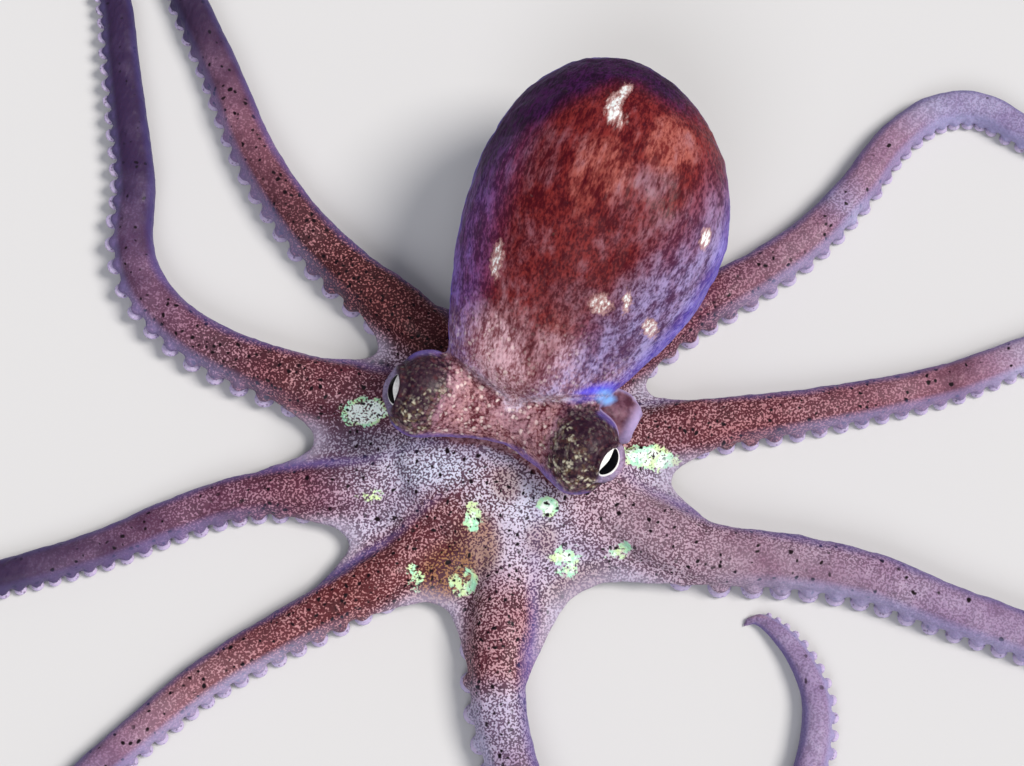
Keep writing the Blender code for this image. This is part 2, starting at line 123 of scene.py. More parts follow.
# How far each arm is rolled over, in degrees at distances in mm, so that its front suckers show.
ARM_ROLLS = {
    "arm_l1": ((0, 6), (30, 10), (60, 26), (91, 32)),
    "arm_l2": ((0, 4), (91, 8)),
    "arm_l3": ((0, 4), (91, 8)),
    "arm_l4": ((0, 6), (91, 8)),
    "arm_r4": ((0, 8), (30, 12), (91, 10)),
    "arm_r3": ((0, 8), (22, 20), (34, 36), (62, 34), (91, 20)),
    "arm_r2": ((0, 6), (30, 12), (91, 8)),
    "arm_r1": ((0, 6), (30, 10), (91, 8)),
}

SUCKERS_FROM = 2.6
SUCKERS_STOP = 2.2  # before the tip
SUCKER_PITCH = 1.05  # in half widths of the arm
SUCKER_LEAST_ROOM = 0.7  # the least half width that the pitch goes by
SUCKER_RADIUS = 0.40
SUCKER_LEAST = 0.2  # the radius of the last ones near the tip
SUCKER_SINK = 0.72  # of its radius: from its middle down to its mouth
SUCKER_ROWS = (0.86, -0.34)  # sideways, in half widths; the first row is on the arm's front side
SUCKER_SIDES = 12
PAD_RADIUS = 0.92  # of the sucker's
PAD_LIFT = 0.55  # of the sucker's radius, above its middle
SUCKER_PROFILE = (  # (radius, height) from the stalk over the rim and up into the cup
    (0.55, 1.25), (0.62, 0.8), (0.95, 0.5), (1.0, 0.2), (0.84, 0.0), (0.52, 0.2), (0.3, 0.55),
)

CROWN_RADIUS = 11.2
CROWN_MIDDLE = 3.45
CROWN_HALF_HEIGHT = 2.7
MOUTH_RADIUS = 1.4
MOUTH_DEPTH = 2.2
LIP_THICK = 0.5

WEBS = (  # between which arms, how far the free edge is from the mouth, how far it runs along them
    ("arm_l1", "arm_l2", 15.8, 13),
    ("arm_l2", "arm_l3", 16.4, 12),
    ("arm_l3", "arm_l4", 15.2, 9),
    ("arm_l4", "arm_r4", 13.6, 5),
    ("arm_r4", "arm_r3", 17.0, 12),
    ("arm_r3", "arm_r2", 19.6, 15),
    ("arm_r2", "arm_r1", 18.4, 14),
    ("arm_r1", "arm_l1", 17.0, 12),
)
WEB_THICK = 0.75
WEB_AT_FLANK = 0.6
WEB_EDGE_TOP = 1.9
WEB_INNER_END = -0.3  # share of the web's reach that runs on under the crown
WEB_RISE = 1.5  # how much higher the web's inner end lies, where it meets the crown
WEB_BAY = 2.5  # the power of the curve of its free edge
WEB_LONGEST = 30.0  # how far along the arms its free edge is looked for
WEB_LIMIT = 28  # mm from the mouth, past all the webs' free edges
WEB_ACROSS = 24
WEB_OUT = 12

HEAD_CENTRE = Vector((-1.1, 1.1, 0))
HEAD_TURN = math.radians(-19.7)
HEAD_STATIONS = (  # along the line from the right eye to the left: (place, front, back, low, high)
    (-10.9, 1.9, -2.2, 7.4, 11.3),
    (-9.9, 3.5, -3.9, 5.8, 12.7),
    (-8.3, 4.2, -4.7, 5.0, 13.4),
    (-6.5, 3.9, -4.9, 4.6, 13.0),
    (-4.4, 2.9, -5.6, 4.4, 12.0),
    (-1.4, 1.9, -6.2, 4.4, 11.4),
    (1.8, 1.8, -6.2, 4.4, 11.4),
    (4.9, 2.8, -5.7, 4.4, 12.0),
    (7.1, 4.1, -4.8, 4.6, 13.1),
    (8.9, 4.4, -4.4, 5.0, 13.4),
    (10.7, 3.5, -3.6, 5.8, 12.7),
    (11.8, 1.8, -1.9, 7.4, 11.3),
)
HEAD_POLE = 0.5  # the last ring at each end: how far out it is, and its size
HEAD_POLE_SIZE = 0.45
HEAD_RINGS = 5  # between two stations
HEAD_TUCK = 0.36

EYE_RADIUS = 2.35
EYE_OUT = 1.3
EYE_HEIGHT = 9.9
EYES = {  # (station along the head, which way it faces along that line, degrees it looks up)
    "right": (-7.6, -1, 26),
    "left": (8.9, 1, 40),
}
GAZE_FORWARD = math.radians(14)
GAZE_UP = math.radians(16)  # of the eyeball's place; how far each eye looks up is its own
LID_THICK = 0.24
LID_REACH = 1.2  # mm round the ball, where the skin belongs to the lids
LID_FAR = 3.4  # in openings
LID_FOLDS = (  # (height in mm, place in openings, breadth): a ridge and the groove round it
    (0.28, 1.2, 0.15), (-0.12, 1.6, 0.14),
)
BALL_COVER = 0.5  # mm of the ball that hides the drawn-in skin
LID_OPENINGS = {  # degrees from the gaze to the opening's ends, top and bottom
    "right": (43, 38, 22),
    "left": (43, 30, 26),
}

NECK = Vector((1.6, 5.7, 0))
MANTLE_TURN = math.radians(-19.4)
MANTLE_LENGTH = 32.2
MANTLE_COLLAR = 3  # how far it runs on forwards into the head
MANTLE_END = 0.9995  # of its length: the last ring
COLLAR_RINGS = 6
MANTLE_RINGS = 44
NECK_HALF_WIDTH = 8.1
NECK_HALF_HEIGHT = 4.3
MANTLE_HALF_WIDTH = 12.8
MANTLE_HALF_HEIGHT = 9.8
SIDE_SWELL = 1.0
BELLY_SWELL = 1.6
MANTLE_BOW = 1.6
NECK_LEVEL = 10.8
MANTLE_RISE = 2.6
END_RISE = 0.8
BODY_SIDES = 56

FUNNEL_BASE = Vector((7.0, 3.9, 8.3))
FUNNEL_END = Vector((12.4, 1.0, 7.3))
FUNNEL_RADII = (2.7, 2.6)
FUNNEL_FLAT = 0.86  # its height, of its width
FUNNEL_SIDES = 24
FUNNEL_LIP_LENGTH = 2.0
# the lip's rings: (mm back from the end, share of the end's radius), rolling over into the bore
FUNNEL_LIP = (
    (1.7, 0.97), (1.1, 0.90), (0.6, 0.79), (0.2, 0.66), (0.0, 0.52), (0.25, 0.42), (2.2, 0.34),
)

SKIN_GRAIN = 0.2  # mm between the points of the fused skin
SKIN_TRIANGLES = 194_000
SKIN_SMOOTHING = 8  # rounds everywhere, and then where the parts run into one another
FOLD_SMOOTHING = 40
SWELLS = (2.6, 0.34)  # size and depth of the skin's unevenness
WRINKLES = (0.9, 0.14)
HOOD_FOLDS = (  # (height, mm behind the hood's line, breadth): a ridge and the groove before it
    (0.18, 0.5, 0.5), (-0.08, -0.4, 0.4),
)
POINTS_AT_ONCE = 20_000
FIELD_MARGIN = 6  # mm round an arm's line, past which its finish doesn't reach


# ------------------------------------------------------------------------------------- small helpers

def smooth_step(x, start=0.0, stop=1.0):
    """0 at start and 1 at stop, for numbers and arrays; stop may be the lower of the two."""
    t = np.clip((x - start) / (stop - start), 0.0, 1.0)
    return t * t * (3 - 2 * t)


def smooth_through(points, pieces):
    """Points on the smooth curve that runs through the given ones."""
    given = np.array(points, float)
    given = np.vstack((2 * given[0] - given[1], given, 2 * given[-1] - given[-2]))
    curve = []
    for a, b, c, d in zip(given, given[1:], given[2:], given[3:]):
        for k in range(pieces):
            t = k / pieces
            bend = (2 * a - 5 * b + 4 * c - d) * t**2 + (3 * b - a - 3 * c + d) * t**3
            curve.append(0.5 * (2 * b + (c - a) * t + bend))
    curve.append(given[-2])
    return np.array(curve)


def select_only(*objects):
    bpy.ops.object.select_all(action="DESELECT")
    for obj in objects:
        obj.select_set(True)
    bpy.context.view_layer.objects.active = objects[0]


def add(primitive, name, **options):
    bpy.ops.object.select_all(action="DESELECT")
    getattr(bpy.ops.mesh, f"primitive_{primitive}_add")(**options)
    obj = bpy.context.object
    obj.name = obj.data.name = name
    return obj


def place_and_apply(obj, matrix):
    select_only(obj)
    obj.matrix_world = matrix
    bpy.ops.object.transform_apply(location=True, rotation=True, scale=True)
    return obj


def settle(obj):
    """From millimetres around the mouth to the frame's metres."""
    return place_and_apply(obj, Matrix.Translation(MOUTH) @ Matrix.Scale(MM, 4))


def apply_modifier(obj, kind, **settings):
    select_only(obj)
    modifier = obj.modifiers.new(kind.lower(), kind)
    for name, value in settings.items():
        setattr(modifier, name, value)
    bpy.ops.object.modifier_apply(modifier=modifier.name)


def in_axes_of(matrix, points):
    """Where points lie in a matrix's own axes."""
    turned = np.array(matrix.inverted())
    return points @ turned[:3, :3].T + turned[:3, 3]


def folds(place, waves):
    """The height of ridges and grooves, each (height, place, breadth), along a line."""
    return sum(height * np.exp(-(((place - at) / breadth) ** 2)) for height, at, breadth in waves)


def add_copies(name, original, placings):
    """Copies of an object in one mesh, each given by its (size, turn, place)."""
    unit, faces = points_of(original), [tuple(p.vertices) for p in original.data.polygons]
    points, rounds = [], []
    for size, turn, place in placings:
        rounds += [tuple(len(unit) * len(points) + i for i in face) for face in faces]
        points.append((unit * size) @ np.array(turn).T + np.array(place))
    mesh = bpy.data.meshes.new(name)
    mesh.from_pydata(np.concatenate(points).tolist(), [], rounds)
    obj = bpy.data.objects.new(name, mesh)
    bpy.context.scene.collection.objects.link(obj)
    return obj


def join(objects, name):
    select_only(*objects)
    bpy.ops.object.join()
    joined = bpy.context.object
    joined.name = joined.data.name = name
    return joined


def points_of(obj):
    flat = np.empty(len(obj.data.vertices) * 3, np.float32)
    obj.data.vertices.foreach_get("co", flat)
    return flat.reshape(-1, 3).astype(float)


def move_points(obj, points):
    obj.data.vertices.foreach_set("co", np.asarray(points, np.float32).ravel())
    obj.data.update()


def weigh(obj, name, weights, levels=20):
    """A vertex group of the given weights, in steps."""
    group = obj.vertex_groups.new(name=name)
    steps = np.round(np.clip(weights, 0, 1) * levels).astype(int)
    for step in range(1, levels + 1):
        members = np.nonzero(steps == step)[0].tolist()
        if members:
            group.add(members, step / levels, "REPLACE")
    return group.name


# ------------------------------------------------------------------------------------------ the arms

class Arm:
    def __init__(self, name):
        self.name = name
        self.line = smooth_through(ARM_ROUTES[name], 24)
        steps = np.linalg.norm(np.diff(self.line, axis=0), axis=1)
        self.marks = np.concatenate(([0.0], np.cumsum(steps)))
        self.length = self.marks[-1]
        self.front = 1 if name.startswith("arm_r") else -1  # which side of it faces forward

    def at(self, distance):
        """The point in plan at that distance along the arm, also a little way inside the crown."""
        distance = np.asarray(distance, float)
        start = (self.line[1] - self.line[0]) / self.marks[1]
        x = np.interp(distance, self.marks, self.line[:, 0])
        y = np.interp(distance, self.marks, self.line[:, 1])
        return np.stack((x, y), -1) + np.minimum(distance, 0)[..., None] * start

    def heading(self, distance):
        distance = np.asarray(distance)
        ahead = self.at(distance + LOOK_AHEAD) - self.at(distance - LOOK_AHEAD)
        return np.arctan2(ahead[..., 1], ahead[..., 0])

    def side(self, distance):
        turn = self.heading(distance)
        return np.stack((-np.sin(turn), np.cos(turn)), -1)

    def half_width(self, distance):
        share = 1 - (self.length - np.asarray(distance, float)) / ARM_LENGTH
        taper = ARM_THIN_END + (ARM_THICK_END - ARM_THIN_END) * (1 - share) ** 3
        pinch = 1 - ROOT_PINCH * (1 - smooth_step(distance, 0, ROOT_REACH))
        return STOUTNESS[self.name] * taper * pinch * np.sqrt(np.clip(1 - share**6, 1e-4, 1))

    def height(self, distance):
        return ARM_HEIGHT * self.half_width(distance)

    def flank(self, distance, facing):
        reach = ARM_FLANK * np.asarray(self.half_width(distance))[..., None]
        return self.at(distance) + self.side(distance) * facing * reach

    def roll(self, distance):
        marks, turns = zip(*ARM_ROLLS[self.name])
        return math.radians(float(np.interp(distance, marks, turns)))

    def suckers(self):
        """(place, direction of its axis, radius) of the suckers, the rows taking turns."""
        found = []
        distance = SUCKERS_FROM
        row = 0
        while distance < self.length - SUCKERS_STOP:
            wide = float(self.half_width(distance))
            radius = max(SUCKER_RADIUS * wide, SUCKER_LEAST)
            turn = self.roll(distance)
            level = SECTION_MIDDLE * ARM_HEIGHT * wide
            across, down = SUCKER_ROWS[row] * wide, SUCKER_SINK * radius - level
            sideways = across * math.cos(turn) - down * math.sin(turn)
            up = level + down * math.cos(turn) + across * math.sin(turn)
            middle, side = self.at(distance), self.side(distance) * self.front
            tilt = turn if row == 0 else 0.5 * turn
            axis = Vector((-side[0] * math.sin(tilt), -side[1] * math.sin(tilt), math.cos(tilt)))
            place = Vector((*(middle + side * sideways), max(up, SUCKER_SINK * radius)))
            found.append((place, axis, radius))
            distance += SUCKER_PITCH * max(wide, SUCKER_LEAST_ROOM) / 2
            row = 1 - row
        return found


def draw_out(ring, stations):
    """Extrudes a ring of unit size, facing +X, from one (place, heading, wide, high) to the next."""
    select_only(ring)
    bpy.ops.object.mode_set(mode="EDIT")
    bpy.ops.mesh.select_all(action="SELECT")
    old = (Vector((0, 0, 0)), 0.0, 1.0, 1.0)
    for k, new in enumerate(stations):
        if k:
            bpy.ops.mesh.extrude_region_move()
        turn = (new[1] - old[1] + math.pi) % (2 * math.pi) - math.pi
        wider = new[2] / old[2]
        bpy.ops.transform.translate(value=new[0] - old[0])
        bpy.ops.transform.rotate(value=-turn, orient_axis="Z", center_override=new[0])
        bpy.ops.transform.resize(value=(wider, wider, new[3] / old[3]), center_override=new[0])
        old = new
    bpy.ops.object.mode_set(mode="OBJECT")
    return ring


def add_ring(name, outline):
    ring = add("circle", name, vertices=len(outline), fill_type="NGON")
    for vertex, (across, up) in zip(ring.data.vertices, outline):
        vertex.co = (0, across, up)
    return ring


def arm_outline():
    """An arm's section: round above, flatter below."""
    outline = []
    for k in range(ARM_SIDES):
        turn = 2 * math.pi * (k + 0.5) / ARM_SIDES
        across = math.copysign(abs(math.cos(turn)) ** SECTION_FULL, math.cos(turn))
        if turn < math.pi:
            up = SECTION_MIDDLE + (1 - SECTION_MIDDLE) * math.sin(turn)
        else:
            lower = abs(math.sin(turn)) ** SECTION_FLAT
            up = SECTION_MIDDLE - (SECTION_MIDDLE - SECTION_LOW) * lower
        outline.append((across, up))
    return outline


def add_arm_flesh(arm):
    count = round((arm.length - ARM_INNER_END) / ARM_STEP)
    stations = []
    for distance in np.linspace(ARM_INNER_END, arm.length - ARM_TIP_GAP, count):
        place = Vector((*arm.at(distance), 0))
        sizes = float(arm.half_width(distance)), float(arm.height(distance))
        stations.append((place, float(arm.heading(distance)), *sizes))
    return draw_out(add_ring(f"{arm.name}_flesh", arm_outline()), stations)


def add_sucker_pads(arms):
    """Low swellings that the suckers sit on, all in one mesh."""
    ball = add("ico_sphere", "sucker_pad", subdivisions=2, radius=1)
    placings = [
        (PAD_RADIUS * radius, np.identity(3), place + axis * PAD_LIFT * radius)
        for arm in arms.values() for place, axis, radius in arm.suckers()
    ]
    pads = add_copies("sucker_pads", ball, placings)
    bpy.data.objects.remove(ball)
    return pads


# --------------------------------------------------------------------------- crown, web and the body

def add_crown_flesh():
    crown = add("uv_sphere", "crown_flesh", segments=72, ring_count=36, radius=1)
    size = (CROWN_RADIUS, CROWN_RADIUS, CROWN_HALF_HEIGHT)
    place_and_apply(crown, Matrix.LocRotScale((0, 0, CROWN_MIDDLE), None, size))
    bpy.ops.object.mode_set(mode="EDIT")
    bpy.ops.mesh.select_all(action="DESELECT")
    shape = bmesh.from_edit_mesh(crown.data)
    for face in shape.faces:
        middle = face.calc_center_median()
        face.select = middle.z < CROWN_MIDDLE and middle.xy.length < MOUTH_RADIUS
    bmesh.update_edit_mesh(crown.data)
    bpy.ops.mesh.extrude_region_move(TRANSFORM_OT_translate={"value": (0, 0, MOUTH_DEPTH)})
    bpy.ops.object.mode_set(mode="OBJECT")
    level = CROWN_MIDDLE - CROWN_HALF_HEIGHT + 0.3 * LIP_THICK
    lip = add(
        "torus", "lip", location=(0, 0, level), major_radius=MOUTH_RADIUS + 0.8 * LIP_THICK,
        minor_radius=LIP_THICK, major_segments=40, minor_segments=14,
    )
    place_and_apply(lip, lip.matrix_world.copy())
    return [crown, lip]


def web_line(arms, one, two, reach, run, across):
    """How far along its two arms the web reaches, at a share across it."""
    distances = np.arange(0.0, WEB_LONGEST, 0.1)
    middles = (arms[one].flank(distances, 1) + arms[two].flank(distances, -1)) / 2
    middle = distances[np.argmax(np.linalg.norm(middles, axis=1) >= reach)]
    return middle + (run - middle) * abs(2 * across - 1) ** WEB_BAY


def web_place(arms, one, two, reach, run, across, out):
    distance = web_line(arms, one, two, reach, run, across) * out
    left, right = arms[one].flank(distance, 1), arms[two].flank(distance, -1)
    plan = left + (right - left) * across
    level = WEB_AT_FLANK * float(arms[one].height(max(distance, 0)))
    sag = 1 - abs(2 * across - 1) ** 2
    drop = (level - WEB_EDGE_TOP) * sag * smooth_step(out)
    rise = WEB_RISE * smooth_step(out, 0.5, -0.1)
    return Vector((*plan, level - drop + rise - WEB_THICK / 2))


def add_web_flesh(arms, one, two, reach, run):
    web = add(
        "grid", f"web_{one[4:]}_{two[4:]}_flesh", size=2, x_subdivisions=WEB_ACROSS,
        y_subdivisions=WEB_OUT,
    )
    for vertex in web.data.vertices:
        across = (vertex.co.x + 1) / 2
        out = WEB_INNER_END + (1 - WEB_INNER_END) * (vertex.co.y + 1) / 2
        vertex.co = web_place(arms, one, two, reach, run, across, out)
    apply_modifier(web, "SOLIDIFY", thickness=WEB_THICK, offset=0)
    return web


def circle_outline(sides):
    turns = [2 * math.pi * k / sides for k in range(sides)]
    return [(math.cos(a), math.sin(a)) for a in turns]


def head_outline():
    """A round section, tucked in below so that the head stands clear of the web."""
    outline = []
    for across, up in circle_outline(BODY_SIDES):
        outline.append((across * (1 - HEAD_TUCK * max(-up, 0) ** 0.8), up))
    return outline


def head_matrix():
    return Matrix.Translation(HEAD_CENTRE) @ Matrix.Rotation(HEAD_TURN, 4, "Z")


def add_head_flesh():
    stations = smooth_through(HEAD_STATIONS, HEAD_RINGS)
    rings = []
    for way, rows in ((-1, stations[:1]), (0, stations), (1, stations[-1:])):
        for place, front, back, low, high in rows:
            size = HEAD_POLE_SIZE if way else 1
            middle = Vector((place + way * HEAD_POLE, -(front + back) / 2, (high + low) / 2))
            rings.append((middle, 0.0, size * (front - back) / 2, size * (high - low) / 2))
    head = draw_out(add_ring("head_flesh", head_outline()), rings)
    return place_and_apply(head, head_matrix())


def mantle_size(share, at_neck, at_most, power):
    """A half width or height: an ellipse behind its middle, a swelling before, the collar in front."""
    if share < 0:
        tucked = 0.97 * share * MANTLE_LENGTH / MANTLE_COLLAR
        return at_neck * math.sqrt(max(1 - tucked**2, 0.05))
    if share < 0.5:
        return at_neck + (at_most - at_neck) * math.sin(math.pi * share) ** power
    return at_most * math.sqrt(max(1 - (2 * share - 1) ** 2, 0.0))


def mantle_half_sizes(share):
    wide = mantle_size(share, NECK_HALF_WIDTH, MANTLE_HALF_WIDTH, SIDE_SWELL)
    high = mantle_size(share, NECK_HALF_HEIGHT, MANTLE_HALF_HEIGHT, BELLY_SWELL)
    return wide, high


def mantle_middle(share):
    """The middle line in the mantle's own axes, X along it."""
    level = NECK_LEVEL + MANTLE_RISE * min(max(2 * share, 0), 1) + END_RISE * max(2 * share - 1, 0)
    return Vector((share * MANTLE_LENGTH, -MANTLE_BOW * math.sin(math.pi * max(share, 0.0)), level))


def mantle_matrix():
    return Matrix.Translation(NECK) @ Matrix.Rotation(math.pi / 2 + MANTLE_TURN, 4, "Z")


def add_mantle_flesh():
    shares = list(np.linspace(-MANTLE_COLLAR / MANTLE_LENGTH, 0, COLLAR_RINGS))
    for k in range(1, MANTLE_RINGS + 1):
        shares.append(MANTLE_END * math.sin(math.pi / 2 * k / MANTLE_RINGS))
    stations = [(mantle_middle(share), 0.0, *mantle_half_sizes(share)) for share in shares]
    mantle = draw_out(add_ring("mantle_flesh", circle_outline(BODY_SIDES)), stations)
    return place_and_apply(mantle, mantle_matrix())


def add_funnel_flesh():
    axis = FUNNEL_END - FUNNEL_BASE
    heading = math.atan2(axis.y, axis.x)
    rings = []
    for share in np.linspace(0, 1 - FUNNEL_LIP_LENGTH / axis.length, 12):
        radius = FUNNEL_RADII[0] + (FUNNEL_RADII[1] - FUNNEL_RADII[0]) * smooth_step(share)
        rings.append((FUNNEL_BASE + axis * float(share), radius))
    for back, size in FUNNEL_LIP:
        rings.append((FUNNEL_END - axis.normalized() * back, FUNNEL_RADII[1] * size))
    stations = [(place, heading, radius, FUNNEL_FLAT * radius) for place, radius in rings]
    return draw_out(add_ring("funnel_flesh", circle_outline(FUNNEL_SIDES)), stations)


# ------------------------------------------------------------------------------------------ the eyes

def head_direction(along, forward, up):
    """A direction from its parts along the head, forward and up."""
    line = Vector((math.cos(HEAD_TURN), math.sin(HEAD_TURN), 0))
    front = Vector((line.y, -line.x, 0))
    return line * along + front * forward + Vector((0, 0, up))


def gaze(side, up):
    way = EYES[side][1]
    level = head_direction(way * math.cos(GAZE_FORWARD), math.sin(GAZE_FORWARD), 0)
    return level * math.cos(up) + Vector((0, 0, math.sin(up)))


def eye_centre(side):
    middle = HEAD_CENTRE + head_direction(EYES[side][0], 0, EYE_HEIGHT)
    return middle + gaze(side, GAZE_UP) * EYE_OUT


def eye_axes(side):
    """Forward along the gaze, sideways along the pupil, and up across it."""
    look = gaze(side, math.radians(EYES[side][2]))
    sideways = Vector((0, 0, 1)).cross(look).normalized()
    return look, sideways, look.cross(sideways)


def eye_angles(side, points):
    """The angles of points from the gaze, along and across the pupil, and their distance."""
    away = points - np.array(eye_centre(side))
    look, sideways, up = (away @ np.array(axis) for axis in eye_axes(side))
    return np.arctan2(sideways, look), np.arctan2(up, look), np.linalg.norm(away, axis=1)


def lid_reach(side, along, across):
    """How far out of the eye's opening, 1 on its edge."""
    wide, high, low = np.radians(LID_OPENINGS[side])
    return np.hypot(along / wide, across / np.where(across > 0, high, low))


def from_nearer_eye(points):
    away = [np.linalg.norm(points - np.array(eye_centre(side)), axis=1) for side in EYES]
    return np.minimum(*away)


def open_eyelids(skin):
    """Draws the skin off each eye inside its opening, and lays a thin lid over the ball round it."""
    points = points_of(skin)
    for side in EYES:
        centre = np.array(eye_centre(side))
        along, across, away = eye_angles(side, points)
        reach = lid_reach(side, along, across)
        shut = smooth_step(reach, 0.86, 1.04)
        outer = np.maximum(away, EYE_RADIUS + LID_THICK) + folds(reach, LID_FOLDS)
        inner = np.minimum(away, EYE_RADIUS - BALL_COVER)
        close = (away < EYE_RADIUS + LID_REACH) & (reach < LID_FAR)
        wanted = np.where(close, inner + (outer - inner) * shut, away)
        scale = wanted / np.maximum(away, 1e-6)
        points = centre + (points - centre) * scale[:, None]
    move_points(skin, points)


# ----------------------------------------------------------------------------------- the fused skin

def soft_weights(points):
    """Where the arms, web and neck run into one another, and the skin is smoothed the most."""
    middle = np.linalg.norm(points[:, :2], axis=1)
    web = smooth_step(middle, 24, 18) * smooth_step(points[:, 2], 7.4, 6.2)
    web *= smooth_step(head_reach(points), 1.2, 1.5)
    along, side, _ = mantle_fields(points)
    hood = smooth_step(np.abs(along + 0.02), 0.14, 0.07) * smooth_step(points[:, 2], 8.6, 9.6)
    hood *= smooth_step(np.abs(side), 1.25, 0.9)
    return np.maximum(web, hood)


def fold_hood(skin):
    """Raises the mantle's front edge a little over the head."""
    points = points_of(skin)
    along, side, _ = mantle_fields(points)
    lift = folds((along - hood_line(side)) * MANTLE_LENGTH, HOOD_FOLDS)
    lift *= smooth_step(np.abs(side), 0.95, 0.7) * smooth_step(points[:, 2], 9.0, 10.0)
    points[:, 2] += lift
    move_points(skin, points)


def roughen(skin, name, size, depth, group):
    """Moves the skin in and out by soft noise."""
    texture = bpy.data.textures.new(name, "CLOUDS")
    texture.noise_scale = size
    texture.noise_depth = 2
    apply_modifier(
        skin, "DISPLACE", texture=texture, strength=depth, mid_level=0.5, vertex_group=group,
        texture_coords="LOCAL",
    )


def rest_on_floor(obj):
    points = points_of(obj)
    points[:, 2] = np.maximum(points[:, 2], 0)
    move_points(obj, points)


def fuse_skin(arms):
    """All the flesh as one skin, smoothed where its parts meet, uneven, and open over the eyes."""
    flesh = [add_arm_flesh(arm) for arm in arms.values()]
    flesh += add_crown_flesh()
    flesh += [add_web_flesh(arms, *web) for web in WEBS]
    flesh += [add_head_flesh(), add_mantle_flesh(), add_funnel_flesh(), add_sucker_pads(arms)]
    skin = join(flesh, "skin")
    apply_modifier(skin, "REMESH", mode="VOXEL", voxel_size=SKIN_GRAIN)
    apply_modifier(skin, "SMOOTH", factor=0.5, iterations=SKIN_SMOOTHING)
    soft = weigh(skin, "soft", soft_weights(points_of(skin)))
    apply_modifier(skin, "SMOOTH", factor=0.5, iterations=FOLD_SMOOTHING, vertex_group=soft)
    fold_hood(skin)
    points = points_of(skin)
    from_eye = from_nearer_eye(points)
    raised = 0.35 + 0.65 * smooth_step(points[:, 2], 1.0, 3.0)
    uneven = weigh(skin, "uneven", smooth_step(from_eye, 3.2, 5.5) * raised)
    roughen(skin, "swells", *SWELLS, uneven)
    roughen(skin, "wrinkles", *WRINKLES, uneven)
    open_eyelids(skin)
    rest_on_floor(skin)
    count = sum(len(p.vertices) - 2 for p in skin.data.polygons)
    if count > SKIN_TRIANGLES:
        spare = weigh(skin, "spare", smooth_step(from_eye, 2.6, 4.4))
        apply_modifier(
            skin, "DECIMATE", decimate_type="COLLAPSE", ratio=SKIN_TRIANGLES / count,
            vertex_group=spare, vertex_group_factor=0.5, use_collapse_triangulate=True,
        )
    skin.vertex_groups.clear()
    skin.data.shade_smooth()
    return skin


# ---------------------------------------------------------------------------- where the markings and the painted light and shade lie

# Washes over 0.8, here on the outer parts of arm_r4, arm_r3 and arm_r2, also bring in painted shade
# Along each arm, in mm: (distance, redness, cover of fine pigment, depth of the wash under it, spots)
ARM_FINISHES = {
    "arm_l1": ((0, .35, .44, .10, .5), (4, .80, .56, .34, .8), (11, .85, .60, .42, .8),
               (14, .20, .48, .28, .6), (17, .20, .48, .34, .4), (21, .30, .56, .54, .4),
               (34, .20, .50, .56, .2), (91, .10, .48, .66, .0)),
    "arm_l2": ((0, .60, .53, .22, .4), (12, .54, .55, .36, .4), (24, .40, .52, .52, .3),
               (34, .25, .50, .60, .2), (91, .10, .48, .64, .0)),
    "arm_l3": ((0, .90, .62, .36, .6), (12, .90, .62, .56, .6), (34, .65, .60, .70, .4),
               (44, .15, .46, .36, .2), (91, .10, .46, .50, .0)),
    "arm_l4": ((0, .85, .64, .60, .6), (22, .60, .60, .60, .6), (28, .55, .58, .60, .4),
               (31, .15, .48, .52, .3), (35, .45, .56, .68, .3), (41, .40, .56, .66, .2),
               (46, .0, .48, .56, .1), (91, .0, .46, .62, .0)),
    "arm_r4": ((0, 1.0, .74, .60, .8), (14, .95, .72, .62, 1.), (32, .65, .68, .78, .7),
               (50, .15, .74, 1.0, .3), (91, .05, .74, 1.0, .1)),
    "arm_r3": ((0, .70, .68, .48, .6), (12, .90, .71, .54, .8), (26, .50, .67, .73, .6),
               (40, .15, .66, .90, .3), (91, .05, .66, .96, .1)),
    "arm_r2": ((0, .30, .56, .36, .4), (10, .70, .64, .60, .6), (30, .35, .66, .88, .4),
               (50, .0, .74, 1.0, .1), (91, .0, .74, 1.0, .1)),
    "arm_r1": ((0, .90, .66, .34, .8), (10, 1.0, .70, .44, 1.), (28, .80, .66, .52, .7),
               (42, .20, .60, .72, .2), (91, .10, .56, .74, .1)),
}
WEB_FINISH = (.25, .53, .16, .25)
HEAD_FINISH = (.85, .60, .34, .15)
MANTLE_FINISH = (1.0, .74, .62, .25)

BULGES = (-9.0, 9.0)  # stations along the head of the dark bulges over the eyes
BULGE_SIZE = (3.8, 4.9)  # along the head and across it

# Markings seen from above: (x, y, length, width, the length's turn in degrees, strength)
MIRROR_SPOTS = (
    (-14.3, 3.6, 4.7, 2.2, 8, 1.5),
    (13.6, -0.9, 6.6, 2.1, -4, 1.15),
    (-13.8, -4.9, 3.0, 1.2, 5, 0.6),
    (-3.6, -7.2, 1.8, 3.0, 0, 0.9),
    (-9.3, -13.0, 1.6, 2.6, 0, 0.6),
    (-4.5, -13.5, 3.0, 2.4, -30, 0.85),
    (5.5, -11.4, 2.8, 2.8, 0, 1.0),
    (10.8, -10.4, 2.6, 1.4, 25, 0.8),
    (3.8, -6.4, 2.0, 1.8, 0, 1.2),
)
PALE_FLECKS = (
    (10.9, 30.6, 2.6, 1.1, 60, 0.9),
    (9.9, 28.6, 3.4, 1.5, 80, 1.0),
    (10.2, 27.4, 2.4, 1.8, 90, 0.5),
    (-1.2, 14.9, 3.4, 1.2, 80, 0.7),
    (18.6, 16.8, 1.9, 1.0, 70, 1.0),
    (8.6, 10.4, 1.8, 2.4, 80, 0.7),
    (11.0, 10.6, 2.0, 0.7, 80, 0.9),
    (13.4, 8.8, 1.4, 1.5, 60, 0.8),
)
RED_GLOWS = (
    (15.2, 25.0, 7.0, 4.6, 75, 1.0),
    (8.6, 22.0, 9.0, 6.0, 60, 0.66),
    (4.5, 8.0, 7.0, 4.5, 75, 0.45),
)
